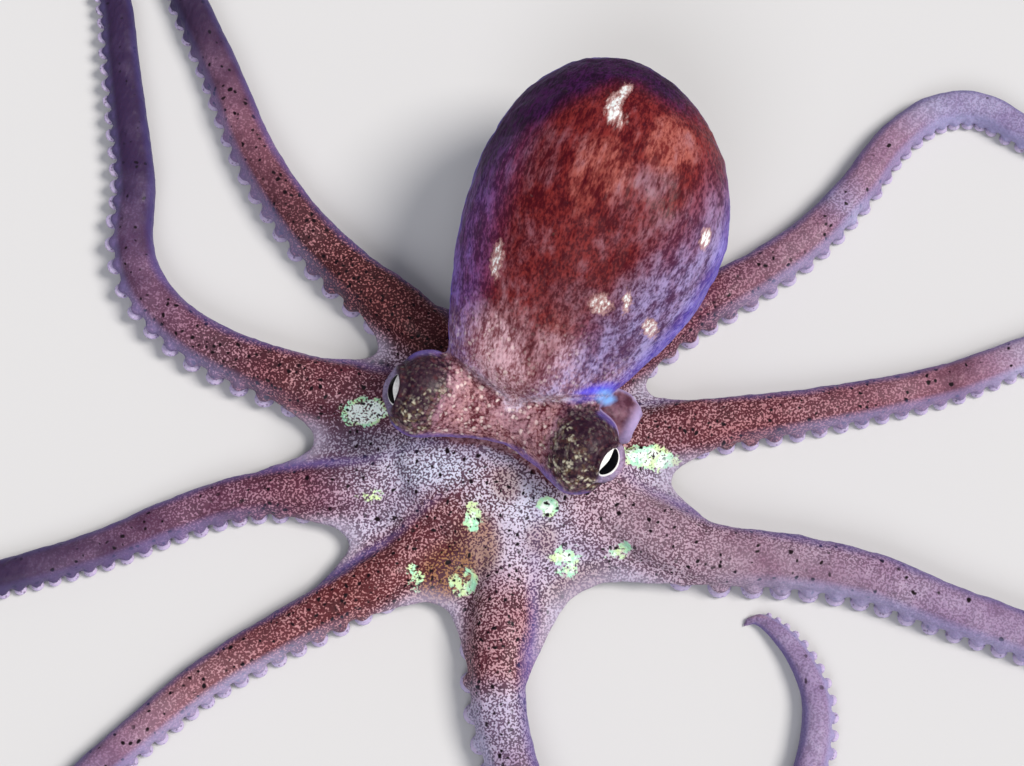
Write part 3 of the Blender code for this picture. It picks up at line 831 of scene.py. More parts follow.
NECK_STREAKS = (
    (3.0, 8.2, 10.0, 3.6, 78, 0.6),
    (8.6, 6.6, 7.0, 3.6, 62, 0.7),
)
# Painted blue gleams and their brightest cores, in the same columns
BLUE_GLOWS = (
    (8.4, 3.3, 4.6, 1.0, 18, 1.0),
)
GLEAM_CORES = (
    (9.2, 3.1, 1.9, 0.9, 16, 1.0),
)
FROSTED = (
    (-7.6, -2.4, 11.0, 4.2, -8, 0.9),
    (-13.4, -2.8, 6.0, 4.4, 0, 0.4),
    (0.4, -5.8, 10.0, 4.6, -10, 0.7),
    (15.6, -3.2, 7.0, 3.0, -20, 0.25),
    (14.5, 5.8, 5.5, 3.2, 35, 0.6),
)
GREY_STREAKS = (
    (11.6, 9.8, 9.0, 5.5, 65, 0.95),
    (14.4, 13.4, 12.0, 7.0, 75, 0.52),
    (14.6, 21.0, 3.6, 6.0, 75, 0.5),
    (1.2, 17.5, 9.0, 3.6, 75, 0.32),
    (-3.0, 9.0, 6.0, 4.0, 75, 0.42),
    (5.5, 5.5, 5.0, 15.0, 75, 0.56),
    (2.0, 23.2, 7.0, 5.5, 60, 0.5),
    (10.4, 17.0, 6.0, 3.6, 75, 0.36),
    (7.0, 10.4, 4.6, 6.6, 75, 0.62),
)
# Where the arms' fine pigment is blurred, and where it is darkened into painted shade beside the
# mantle
SOFT_NETS = (
    (27.0, -13.0, 18.0, 6.0, -14, 1.0),
    (14.0, -7.8, 9.0, 7.0, -20, 0.5),
    (27.0, 18.4, 14.0, 5.0, 50, 0.5),
)
MANTLE_SHADE_NETS = (
    (-17.0, 19.0, 26.0, 8.0, 133, 1.0),
    (-26.0, 9.4, 16.0, 5.0, 160, 0.5),
)
# Painted shade on the webs beside the head, in the same columns
WEB_SHADES = (
    (-16.6, 0.8, 7.5, 6.5, 0, 1.0),
    (-13.4, 10.0, 4.0, 4.0, 30, 0.5),
    (16.0, -1.0, 5.0, 5.0, 0, 0.3),
)
GOLD_WASHES = (
    (-6.0, -12.3, 7.5, 5.0, 38, 1.0),
    (-3.2, -9.8, 4.4, 6.0, 15, 0.8),
    (3.2, -9.3, 3.0, 3.4, 20, 0.4),
    (-0.4, -4.2, 3.0, 3.5, 0, 0.5),
    (6.8, -13.4, 7.0, 3.4, 25, 0.45),
)


def blots(points, marks, soft=0.3):
    """How strongly each point is marked by soft-edged ovals, seen from above."""
    strongest = np.zeros(len(points))
    for x, y, length, width, turn, strength in marks:
        away = points[:, :2] - np.array((x, y))
        cos, sin = math.cos(math.radians(turn)), math.sin(math.radians(turn))
        along = (away[:, 0] * cos + away[:, 1] * sin) / (length / 2)
        across = (away[:, 1] * cos - away[:, 0] * sin) / (width / 2)
        reach = np.hypot(along, across)
        strongest = np.maximum(strongest, strength * smooth_step(reach, 1 + soft, 1 - soft))
    return strongest


def in_parts(wanted):
    """The numbers of the points wanted, some at a time."""
    numbers = np.nonzero(wanted)[0]
    return np.array_split(numbers, max(1, len(numbers) // POINTS_AT_ONCE))


def arm_fields(arms, points):
    """For each point: its arms' finish, how far it is on a ridge, its place on the nearest arm, and
    how far it is from that arm's middle, 1 at its edge."""
    plan = points[:, :2].astype(np.float32)
    best = np.full(len(points), 1e9)
    share, front = np.zeros(len(points)), np.zeros(len(points))
    total, finish = np.zeros(len(points)), np.zeros((len(points), 4))
    inside = 1 - smooth_step(np.linalg.norm(plan, axis=1), 18, 22)
    for arm in arms.values():
        distances = np.arange(ARM_INNER_END, arm.length, 0.4)
        line = arm.at(distances).astype(np.float32)
        low, high = line.min(0) - FIELD_MARGIN, line.max(0) + FIELD_MARGIN
        stations = np.array(ARM_FINISHES[arm.name])
        for part in in_parts(((plan > low) & (plan < high)).all(1)):
            gaps = ((plan[part, None] - line[None]) ** 2).sum(-1)
            k = gaps.argmin(1)
            away = plan[part] - line[k]
            wide = arm.half_width(np.maximum(distances[k], 0))
            reach = np.sqrt(gaps[np.arange(len(part)), k]) / wide
            sideways = (away * arm.side(distances[k])).sum(1) * arm.front / wide
            values = [np.interp(distances[k], stations[:, 0], stations[:, c]) for c in range(1, 5)]
            ridge = smooth_step(reach, 2.0, 0.7)
            ridge = np.where(reach < 2, np.maximum(ridge, 1 - inside[part]), 0)
            total[part] += ridge
            finish[part] += ridge[:, None] * np.stack(values, 1)
            closer = reach < best[part]
            chosen = part[closer]
            best[chosen] = reach[closer]
            share[chosen] = np.maximum(distances[k][closer], 0) / arm.length
            front[chosen] = sideways[closer]
    finish /= np.maximum(total, 1e-6)[:, None]
    return finish, np.clip(total, 0, 1), share, front, best


def web_rim_field(arms, points):
    """1 along the web's free edges, fading inwards."""
    edges = []
    for web in WEBS:
        edges += [web_place(arms, *web, u, 1.0)[:2] for u in np.linspace(0.08, 0.92, 60)]
    edges = np.array(edges, np.float32)
    plan = points[:, :2].astype(np.float32)
    rim = np.zeros(len(points))
    for part in in_parts(np.linalg.norm(plan, axis=1) < WEB_LIMIT):
        gaps = np.sqrt(((plan[part, None] - edges[None]) ** 2).sum(-1)).min(1)
        rim[part] = smooth_step(gaps, 2.2, 0.2)
    return rim


def mantle_fields(points):
    """(share along the mantle, sideways, upwards) in its own sizes, its left side positive."""
    local = in_axes_of(mantle_matrix(), points)
    share = local[:, 0] / MANTLE_LENGTH
    table = np.linspace(-0.12, 1, 120)
    wide, high = np.transpose([mantle_half_sizes(s) for s in table])
    middle = np.array([mantle_middle(s) for s in table])
    side = np.interp(share, table, middle[:, 1]) - local[:, 1]
    up = local[:, 2] - np.interp(share, table, middle[:, 2])
    side /= np.maximum(np.interp(share, table, wide), 1)
    return share, side, up / np.maximum(np.interp(share, table, high), 1)


def head_reach(points):
    """How far points are from the head's middle line, 1 on its flesh."""
    local = in_axes_of(head_matrix(), points)
    place, front, back, low, high = np.array(HEAD_STATIONS).T
    x = local[:, 0]
    middle_y = -np.interp(x, place, (front + back) / 2)
    middle_z = np.interp(x, place, (low + high) / 2)
    deep = np.interp(x, place, (front - back) / 2)
    tall = np.interp(x, place, (high - low) / 2)
    off = np.hypot((local[:, 1] - middle_y) / deep, (local[:, 2] - middle_z) / tall)
    return off + np.maximum(0, -11.6 - x) + np.maximum(0, x - 12.0)


def head_field(points):
    """1 on the head and 0 well off it."""
    return smooth_step(head_reach(points), 1.17, 1.07) * smooth_step(points[:, 2], 5.2, 6.0)


def hood_line(side):
    """The share along the mantle where its front edge lies over the head."""
    return -0.118 + 0.10 * np.clip(side + 0.1, -1.1, 1.1) ** 2


def head_places(points):
    """How far points are along the head from its middle, and how far forward."""
    away = points - np.array(HEAD_CENTRE)
    return away @ np.array(head_direction(1, 0, 0)), away @ np.array(head_direction(0, 1, 0))


def bulge_fields(points):
    """The bulges over the eyes, 1 in their middles, and their gilded front and inner parts."""
    along, deep = head_places(points)
    deep_share = np.abs(deep / BULGE_SIZE[1]) ** 3
    reach = [(np.abs((along - b) / BULGE_SIZE[0]) ** 3 + deep_share) ** (1 / 3) for b in BULGES]
    inward = np.where(along < 0, along - BULGES[0], BULGES[1] - along)
    from_edge = 0.75 * deep / BULGE_SIZE[1] + 0.5 * inward / BULGE_SIZE[0]
    gilded = smooth_step(from_edge + np.where(along < 0, -0.1, 0.12), 0.0, 0.5)
    gilded *= np.where(along < 0, 0.85, 1)
    return smooth_step(np.minimum(*reach), 1.2, 0.5), gilded


def lid_field(points):
    """1 on the rim of the lids, fading outwards."""
    rim = np.zeros(len(points))
    for side in EYES:
        along, across, away = eye_angles(side, points)
        reach = lid_reach(side, along, across)
        fold = smooth_step(across, 0.25, -0.15) * smooth_step(reach, 1.45, 1.1)
        rim = np.maximum(rim, fold * (away < EYE_RADIUS + LID_REACH))
    return rim


def side_of_head(points):
    """How far behind the head's middle line each point is, between the bulges over the eyes."""
    along, forward = head_places(points)
    return np.where(np.abs(along) < 7.5, -forward / 4.0, -1)


def funnel_fields(points):
    """1 on the funnel and 0 off it, and 1 on its lip, fading towards its root."""
    axis = np.array(FUNNEL_END - FUNNEL_BASE)
    away = points - np.array(FUNNEL_BASE)
    share = away @ axis / (axis @ axis)
    off = np.linalg.norm(away - np.clip(share, 0.25, 1)[:, None] * axis, axis=1)
    funnel = smooth_step(off, FUNNEL_RADII[0] + 0.9, FUNNEL_RADII[0] + 0.2)
    return funnel, smooth_step(share, 0.72, 0.92)


def store(obj, name, *columns):
    """Stores up to four values at each point as one attribute; a fourth that isn't given is 1."""
    values = np.ones((len(obj.data.vertices), 4), np.float32)
    for k, column in enumerate(columns):
        values[:, k] = column
    layer = obj.data.attributes.new(name, "FLOAT_COLOR", "POINT")
    layer.data.foreach_set("color", values.ravel())


# What is stored at each point of the skin: four values under each name
SKIN_MARKS = {
    "finish": ("red", "cover", "wash", "spots"),
    "arm": ("front", "share", "ridge", "rim"),
    "body": ("mantle", "head", "bulge", "mirror"),
    "marks": ("fleck", "glow", "streak", "dusk"),
    "washes": ("gold", "gleam", "nape", "dull"),
    "edging": ("edging", "lid", "hood", "frost"),
    "haze": ("haze", "haze_light", "core", "gilded"),
    "nets": ("funnel", "funnel_lip", "soft", "deepened"),
}


def paint_skin(skin, arms):
    """Stores the marks at each point of the skin, under the names that SKIN_MARKS gives them."""
    points = points_of(skin)
    level = points[:, 2]
    finish, ridge, share, front, from_arm = arm_fields(arms, points)
    along, side, up = mantle_fields(points)
    from_hood = along - hood_line(side)
    funnel, funnel_lip = funnel_fields(points)
    mantle = smooth_step(from_hood, -0.006, 0.02) * smooth_step(np.hypot(side, up), 1.5, 1.15)
    mantle *= smooth_step(level, 3.0, 4.6)
    head = np.maximum(head_field(points), smooth_step(level, 7.2, 8.2)) * (1 - mantle)
    top = np.maximum(mantle, head)
    flat = (1 - head) * (1 - mantle)
    for part, own in ((ridge, WEB_FINISH), (1 - head, HEAD_FINISH), (1 - mantle, MANTLE_FINISH)):
        finish = finish * part[:, None] + np.array(own) * (1 - part[:, None])
    ridge = ridge * flat
    rim = web_rim_field(arms, points) * flat * smooth_step(from_arm, 0.95, 1.6)
    bulge, gilded = bulge_fields(points)
    round_end = np.hypot(2 * along - 1, side) - 0.12 * side
    # Painted shade on the mantle's far end and on its side away from the key light
    dusk = smooth_step(round_end, 0.54, 0.88) * smooth_step(along - 0.18 * side, 0.62, 0.84)
    dusk = np.maximum(dusk, 0.8 * smooth_step(side, -0.55, -0.95) * smooth_step(along, 0.25, 0.6))
    nape = smooth_step(along, 0.18, 0.0) * mantle * (1 - blots(points, NECK_STREAKS, 0.6))
    # Painted blue gleams: along the front of the mantle's edge on the side towards the key light, and
    # in the given spots
    gleam = 0.45 * smooth_step(side, 0.90, 1.0) * smooth_step(along, 0.80, 0.45) * mantle
    gleam = np.maximum(gleam, blots(points, BLUE_GLOWS, 0.6) * top) * (1 - funnel)
    # Where add_edges may paint its violet rim glow: off the mantle's middle by the neck, the back of
    # the head and round the eyes
    inward = smooth_step(np.abs(side), 0.9, 0.7) * smooth_step(along, 0.30, 0.12) * mantle
    inward = np.maximum(inward, smooth_step(side_of_head(points), -0.2, 0.3) * head)
    edging = 1 - np.maximum(inward, smooth_step(from_nearer_eye(points), 3.6, 3.2))
    hood = np.exp(-((from_hood / 0.018) ** 2)) * smooth_step(np.abs(side), 1.0, 0.7)
    hood *= smooth_step(level, 8.6, 9.6)
    # A painted violet glow on the mantle's sides
    haze = smooth_step(np.where(side < 0, -side, side + 0.40 - 0.8 * along), 0.50, 1.0)
    haze *= smooth_step(along, 0.85, 0.60) * mantle * (1 - funnel)
    # The painted gleams' brightest cores
    core = blots(points, GLEAM_CORES, 0.6) * smooth_step(level, 8, 9)

    def within(part, marks, soft):
        return blots(points, marks, soft) * part

    store(skin, "finish", *finish.T)
    store(skin, "arm", 0.5 + front / 4, share, ridge, rim)
    store(skin, "body", mantle, head, bulge * head, within(flat, MIRROR_SPOTS, 0.5))
    store(
        skin, "marks", within(top, PALE_FLECKS, 0.5), within(top, RED_GLOWS, 0.6),
        within(top, GREY_STREAKS, 0.7), dusk * mantle,
    )
    # Stored with the gold washes and the nape: the painted blue gleams and the webs' painted shade
    store(skin, "washes", within(flat, GOLD_WASHES, 0.4), gleam, nape, within(flat, WEB_SHADES, 0.6))
    frost = within(flat, FROSTED, 0.7)
    store(skin, "edging", edging * (1 - funnel), lid_field(points), hood, frost)
    # The painted side glow and its paler share towards the key light, stored with the painted gleams'
    # cores
    store(skin, "haze", haze, smooth_step(side, -0.5, 0.5), core, gilded)
    # The arms' blurred nets, and their painted shade beside the mantle
    nets = within(flat, SOFT_NETS, 0.6), within(flat, MANTLE_SHADE_NETS, 0.5)
    store(skin, "nets", funnel, funnel_lip, *nets)


# -------------------------------------------------------------------------------------- the finishes

class Value:
    """A number that changes over the surface; reckoning with it adds Math nodes."""

    def __init__(self, net, socket):
        self.net = net
        self.socket = socket

    def __add__(self, other):
        return self.net.math("ADD", self, other)

    def __sub__(self, other):
        return self.net.math("SUBTRACT", self, other)

    def __rsub__(self, other):
        return self.net.math("SUBTRACT", other, self)

    def __mul__(self, other):
        return self.net.math("MULTIPLY", self, other)

    def __rtruediv__(self, other):
        return self.net.math("DIVIDE", other, self)

    def __pow__(self, other):
        return self.net.math("POWER", self, other)

    def __abs__(self):
        return self.net.math("ABSOLUTE", self)


class Net:
    """Adds nodes to a tree and joins them up; what it is given may be a Value, a socket, a number
    or a colour."""

    def __init__(self, tree):
        self.tree = tree

    def feed(self, socket, given):
        if isinstance(given, Value):
            given = given.socket
        if isinstance(given, bpy.types.NodeSocket):
            self.tree.links.new(given, socket)
        elif given is not None:
            socket.default_value = given

    def add(self, kind, inputs=(), **settings):
        node = self.tree.nodes.new(f"ShaderNode{kind}")
        for name, setting in settings.items():
            setattr(node, name, setting)
        for name, given in dict(inputs).items():
            self.feed(node.inputs[name], given)
        return node

    def math(self, operation, *given):
        node = self.add("Math", dict(enumerate(given)), operation=operation)
        return Value(self, node.outputs[0])

    def most(self, *values):
        return functools.reduce(lambda a, b: self.math("MAXIMUM", a, b), values)

    def step(self, value, start, stop, low=0.0, high=1.0):
        inputs = {"Value": value, "From Min": start, "From Max": stop, "To Min": low, "To Max": high}
        node = self.add("MapRange", inputs, interpolation_type="SMOOTHSTEP")
        return Value(self, node.outputs["Result"])

    def mix(self, share, a, b):
        return self.add("Mix", {0: share, 6: a, 7: b}, data_type="RGBA").outputs[2]

    def noise(self, place, size, detail=2.0, rough=0.5):
        inputs = {"Vector": place, "Scale": 1 / size, "Detail": detail, "Roughness": rough}
        return Value(self, self.add("TexNoise", inputs).outputs["Fac"])

    def toward(self, normal, direction):
        """How far the surface faces that way, from -1 to 1."""
        node = self.add("VectorMath", {0: normal, 1: direction}, operation="DOT_PRODUCT")
        return Value(self, node.outputs["Value"])

    def split(self, colour):
        node = self.add("SeparateColor", {"Color": colour})
        return [Value(self, output) for output in node.outputs]

    def attribute(self, name):
        """The four values stored under a name."""
        node = self.add("Attribute", attribute_name=name)
        return *self.split(node.outputs["Color"]), Value(self, node.outputs["Alpha"])

    def millimetres(self):
        place = self.add("TexCoord").outputs["Object"]
        return self.add("VectorMath", {0: place, "Scale": 1 / MM}, operation="SCALE").outputs[0]


def make_group(name, inputs, outputs):
    """A group's tree, its net, what it is given by name, and the sockets that it puts out."""
    tree = bpy.data.node_groups.new(name, "ShaderNodeTree")
    for label, kind in inputs:
        tree.interface.new_socket(label, in_out="INPUT", socket_type=f"NodeSocket{kind}")
    for label in outputs:
        tree.interface.new_socket(label, in_out="OUTPUT", socket_type="NodeSocketFloat")
    net = Net(tree)
    sockets = tree.nodes.new("NodeGroupInput").outputs
    given = {label: Value(net, sockets[label]) for label, _ in inputs}
    return tree, net, given, tree.nodes.new("NodeGroupOutput").inputs


def pigment_cells_group():
    """Small round pigment sacs: few and apart at a low cover, a net with pale gaps at a high one."""
    tree, net, given, wanted = make_group(
        "pigment_cells",
        (("Place", "Vector"), ("Spacing", "Float"), ("Cover", "Float"), ("Edge", "Float")),
        ("Mask", "Tone"),
    )
    spacing = net.add("CombineXYZ", {axis: given["Spacing"] for axis in "XYZ"}).outputs[0]
    fine = net.add("VectorMath", {0: given["Place"], 1: spacing}, operation="DIVIDE").outputs[0]
    wander = net.add("TexNoise", {"Vector": fine, "Scale": 0.9, "Detail": 1.0}).outputs["Color"]
    inputs = {0: wander, 1: (0.8, 0.8, 0.8), 2: fine}
    shifted = net.add("VectorMath", inputs, operation="MULTIPLY_ADD").outputs[0]
    cells = net.add("TexVoronoi", {"Vector": shifted, "Scale": 1.0, "Randomness": 0.9})
    tone, size, _ = net.split(cells.outputs["Color"])
    reach = given["Cover"] * (size * 0.5 + 0.72)
    outer, inner = reach + given["Edge"], reach - given["Edge"]
    net.feed(wanted["Mask"], net.step(cells.outputs["Distance"], outer, inner))
    net.feed(wanted["Tone"], tone)
    return tree


def wet_grain_group():
    """The fine unevenness of moist skin."""
    tree, net, given, wanted = make_group(
        "wet_grain", (("Place", "Vector"), ("Relief", "Float")), ("Height",)
    )
    pebbles = net.add("TexVoronoi", {"Vector": given["Place"], "Scale": 2.6}, feature="SMOOTH_F1")
    creases = net.noise(given["Place"], 0.8, 3.0, 0.6)
    height = Value(net, pebbles.outputs["Distance"]) * -0.6 + creases
    net.feed(wanted["Height"], height * given["Relief"])
    return tree


def pigment_net_group():
    """Fine pigment: dots at a low cover, worms at a middling one, a net with gaps at a high one."""
    tree, net, given, wanted = make_group(
        "pigment_net",
        (("Place", "Vector"), ("Width", "Float"), ("Cover", "Float"), ("Edge", "Float")),
        ("Mask",),
    )
    inputs = {
        "Vector": given["Place"], "Scale": 1.0 / given["Width"], "Detail": 0.4, "Roughness": 0.3,
        "Distortion": 0.25,
    }
    waves = net.add("TexNoise", inputs).outputs["Fac"]
    level = given["Cover"] * -0.52 + 0.76
    mask = net.step(waves, level - given["Edge"], level + given["Edge"])
    net.feed(wanted["Mask"], mask)
    return tree


PALE_TISSUE = (0.58, 0.58, 0.75, 1)
FROST_WHITE = (0.70, 0.75, 0.90, 1)
WEB_RIM = (0.42, 0.36, 0.47, 1)
PALE_PINK = (0.64, 0.37, 0.38, 1)
MAUVE = (0.26, 0.20, 0.37, 1)
RED_FLESH = (0.38, 0.13, 0.12, 1)
DEEP_PURPLE = (0.042, 0.024, 0.085, 1)
DEEP_RED = (0.070, 0.018, 0.018, 1)
BRICK = (0.085, 0.011, 0.014, 1)
GREY_PURPLE = (0.060, 0.026, 0.075, 1)
# Painted shade on the webs beside the head
WEB_SHADE_LILAC = (0.30, 0.25, 0.33, 1)
MAROON = (0.016, 0.004, 0.013, 1)
BLACK_BROWN = (0.008, 0.003, 0.005, 1)
FRONT_LILAC = (0.46, 0.45, 0.66, 1)
FRONT_VIOLET = (0.23, 0.20, 0.46, 1)
# Painted shade on the arms' deepest washes
WASH_SHADE_PURPLE = (0.016, 0.012, 0.030, 1)
# Painted violet shade along the arms' back sides, lilac near their roots
BACK_SHADE_VIOLET = (0.090, 0.074, 0.26, 1)
BACK_SHADE_LILAC = (0.15, 0.11, 0.34, 1)
# The painted violet rim glow: its colour, brighter where the skin faces away from the key light, and
# on the head
RIM_GLOW_BLUE = (0.085, 0.055, 0.36, 1)
RIM_GLOW_BRIGHT = (0.20, 0.14, 0.85, 1)
RIM_GLOW_LILAC = (0.17, 0.12, 0.48, 1)
# Painted blue gleams, and their brightest cores
GLOW_BLUE = (0.07, 0.07, 0.86, 1)
GLEAM_CORE_BLUE = (0.24, 0.50, 1.0, 1)
LID_MAUVE = (0.34, 0.27, 0.44, 1)
FUNNEL_BROWN = ((0.070, 0.018, 0.034, 1), (0.21, 0.095, 0.13, 1))
# The funnel's pale lip, and its painted rim glow where it turns away from the camera
FUNNEL_LILAC = (0.46, 0.37, 0.64, 1)
# A painted violet glow on the mantle's sides: away from the key light, and paler on the side towards
# it
SIDE_GLOW_VIOLET = ((0.066, 0.034, 0.17, 1), (0.26, 0.16, 0.56, 1))
SIDE_GLOW_LILAC = ((0.075, 0.050, 0.14, 1), (0.34, 0.30, 0.57, 1))
HOOD_LILAC = (0.74, 0.64, 0.80, 1)
FLECK_OLIVE = (0.66, 0.62, 0.46, 1)
CREAM = (0.86, 0.90, 0.88, 1)
FLECK_GOLD = (0.46, 0.26, 0.24, 1)
GRANULE_RED = (0.15, 0.030, 0.040, 1)
GRANULE_PINK = (0.46, 0.24, 0.28, 1)
GRANULE_GOLD = (0.92, 0.76, 0.70, 1)
OLIVE_GOLD = (0.12, 0.080, 0.044, 1)
BULGE_RED = (0.055, 0.009, 0.016, 1)
GOLD_BROWN = (0.34, 0.160, 0.065, 1)
MIRROR_GREEN = (0.42, 0.82, 0.55, 1)
MIRROR_GOLD = (0.66, 0.82, 0.42, 1)
MIRROR_WHITE = (0.90, 1.0, 0.91, 1)

# The body's skin, each as the colour of its dark streaks and of the light ones between them
BODY_COLOURS = {
    "mantle": ((0.064, 0.002, 0.006, 1), (0.215, 0.023, 0.021, 1)),
    "glow": ((0.150, 0.014, 0.014, 1), (0.400, 0.110, 0.085, 1)),
    "streak": ((0.072, 0.011, 0.020, 1), (0.255, 0.125, 0.165, 1)),
    # painted shade on the mantle's far end and its side away from the key light
    "dusk": ((0.013, 0.001, 0.015, 1), (0.050, 0.006, 0.058, 1)),
    "nape": ((0.170, 0.045, 0.056, 1), (0.640, 0.400, 0.450, 1)),
    "head": ((0.084, 0.010, 0.018, 1), (0.530, 0.280, 0.290, 1)),
    "brow": ((0.050, 0.007, 0.022, 1), (0.320, 0.165, 0.235, 1)),
}

PIGMENT_WIDTH = 0.205  # mm, of the fine net's lines
LARGE_SACS = (0.76, 0.25, 0.08)  # spacing in mm, cover and softness of the edge, here and below
GILT_GRAINS = (0.42, 0.36, 0.3)
HEAD_GRANULES = (0.38, 0.46, 0.28)
SUCKER_DOTS = (0.42, 0.26, 0.1)
TOWARD_CAMERA = (0, -0.26, 0.966)  # towards the camera: the painted rim glow lies where skin turns away
# The side the key light falls on: the painted rim glow is made brighter where skin faces away from it
LIT_SIDE = (0.75, -0.62, 0.23)
STREAK_STRETCH = 2.6

SKIN_FINISH = {
    "Subsurface Weight": 0.12, "Subsurface Radius": (1.0, 0.45, 0.6), "Subsurface Scale": 0.00025,
    "IOR": 1.22, "Specular IOR Level": 0.4, "Coat Weight": 0.03, "Coat Roughness": 0.12,
    "Sheen Weight": 0.06, "Sheen Roughness": 0.3, "Sheen Tint": (0.30, 0.22, 1.0, 1),
}
SUCKER_FINISH = {
    "Roughness": 0.38, "Subsurface Weight": 0.35, "Subsurface Radius": (1.0, 0.7, 0.9),
    "Subsurface Scale": 0.0006, "Sheen Weight": 0.3, "Sheen Tint": (0.4, 0.35, 1.0, 1),
}
EYE_FINISH = {
    "Roughness": 0.3, "IOR": 1.05, "Coat Weight": 0.25, "Coat Roughness": 0.03, "Coat IOR": 1.12,
}
FLOOR_FINISH = {"Base Color": (0.62, 0.61, 0.60, 1), "Roughness": 0.85}


def new_material(name, finish):
    """A material, its net, and its shader with the values that are the same all over."""
    material = bpy.data.materials.new(name)
    material.use_nodes = True
    shader = material.node_tree.nodes["Principled BSDF"]
    for label, value in finish.items():
        shader.inputs[label].default_value = value
    return material, Net(material.node_tree), shader


def put_group(net, tree, inputs):
    node = net.add("Group", node_tree=tree)
    for name, given in inputs.items():
        net.feed(node.inputs[name], given)
    return node


def cells(net, groups, place, spacing, cover, edge):
    inputs = {"Place": place, "Spacing": spacing, "Cover": cover, "Edge": edge}
    node = put_group(net, groups["cells"], inputs)
    return Value(net, node.outputs["Mask"]), Value(net, node.outputs["Tone"])


def add_relief(net, groups, shader, place, relief, depth):
    grain = put_group(net, groups["grain"], {"Place": place, "Relief": relief})
    bump = net.add("Bump", {"Height": grain.outputs["Height"], "Distance": depth, "Strength": 1.0})
    net.feed(shader.inputs["Normal"], bump.outputs["Normal"])


def streaked_place(net, place):
    """The same place, drawn out along the mantle."""
    turned = net.add("Mapping", {"Vector": place}, vector_type="TEXTURE")
    turned.inputs["Rotation"].default_value = (0, 0, math.pi / 2 + MANTLE_TURN)
    turned.inputs["Scale"].default_value = (STREAK_STRETCH, 1.0, 1.0)
    return turned.outputs[0]


def skin_marks(net):
    """The stored marks, the way the skin faces, and the noises that several of its colours share."""
    on = SimpleNamespace(place=net.millimetres())
    for name, parts in SKIN_MARKS.items():
        for part, value in zip(parts, net.attribute(name)):
            setattr(on, part, value)
    normal = net.add("NewGeometry").outputs["Normal"]
    on.up = Value(net, net.add("SeparateXYZ", {"Vector": normal}).outputs["Z"])
    on.facing = net.toward(normal, TOWARD_CAMERA)
    on.lit = net.toward(normal, LIT_SIDE)
    on.streaked = streaked_place(net, on.place)
    on.broad = net.noise(on.place, 5.0, 3.0, 0.55)
    on.patchy = net.noise(on.place, 1.6, 3.0, 0.6)
    on.torn = net.noise(on.place, 1.1, 4.0, 0.65) - 0.5
    on.uneven = net.noise(on.streaked, 1.3, 3.0, 0.6) + on.broad - 1.0
    return on


def arm_tissue(net, on):
    """Arms and web under their pigment: a wash, frost, painted shade beside the head, golden patches,
    mirror spots.
    """
    washed = (on.broad - 0.5) * 0.7 + on.wash
    light, deep = net.mix(on.red, PALE_TISSUE, PALE_PINK), net.mix(on.red, MAUVE, RED_FLESH)
    tissue = net.mix(net.step(washed, 0.0, 0.75), light, deep)
    tissue = net.mix(net.step(washed, 0.60, 1.0), tissue, net.mix(on.red, DEEP_PURPLE, DEEP_RED))
    on.frost *= net.step(on.broad + on.patchy, 0.75, 1.15, 0.5, 0.85)
    tissue = net.mix(on.frost, tissue, FROST_WHITE)
    # Painted shade on the webs beside the head
    tissue = net.mix(on.dull * 0.6, tissue, WEB_SHADE_LILAC)
    tissue = net.mix(on.gold * 0.95, tissue, GOLD_BROWN)
    on.shine = net.step(on.torn * 3.6 + on.mirror, 0.35, 0.75) * net.step(on.mirror, 0.0, 0.3)
    glassy = (net.noise(on.place, 0.5) - 0.5) * 1.8 + on.mirror
    mirror = net.mix(net.step(on.patchy, 0.40, 0.62), MIRROR_GREEN, MIRROR_GOLD)
    mirror = net.mix(net.step(glassy, 0.80, 1.3), mirror, MIRROR_WHITE)
    return net.mix(on.shine, tissue, mirror)


def add_arm_pigment(net, groups, on, tissue):
    """The net of fine pigment, weaker towards the tips, and the large dark sacs over it."""
    cover = (on.patchy - 0.5) * 0.45 + on.cover - (on.frost * 0.08 + on.shine * 0.38)
    # More pigment in the webs' painted shade
    cover = on.dull * 0.10 + cover
    inputs = {"Place": on.place, "Width": PIGMENT_WIDTH, "Cover": cover, "Edge": 0.09}
    fine = Value(net, put_group(net, groups["net"], inputs).outputs["Mask"])
    pigment = net.mix(on.red, GREY_PURPLE, BRICK)
    pigment = net.mix(net.step(on.patchy, 0.40, 0.80, 0.0, 0.5), pigment, BLACK_BROWN)
    # Darker pigment in the painted shade beside the mantle
    pigment = net.mix(on.deepened * 0.6, pigment, BLACK_BROWN)
    strength = net.step(on.red, 0.2, 0.8, 0.86, 0.95) * net.step(on.share, 0.16, 0.55, 1.0, 0.38)
    strength *= on.soft * -0.5 + 1.0
    tissue = net.mix(on.soft * 0.28, tissue, pigment)
    colour = net.mix(fine * strength, tissue, pigment)
    large, tone = cells(net, groups, on.place, *LARGE_SACS)
    large *= net.step(on.spots - tone, -0.1, 0.1) * net.step(on.up, 0.0, 0.4)
    return net.mix(large, colour, BLACK_BROWN)


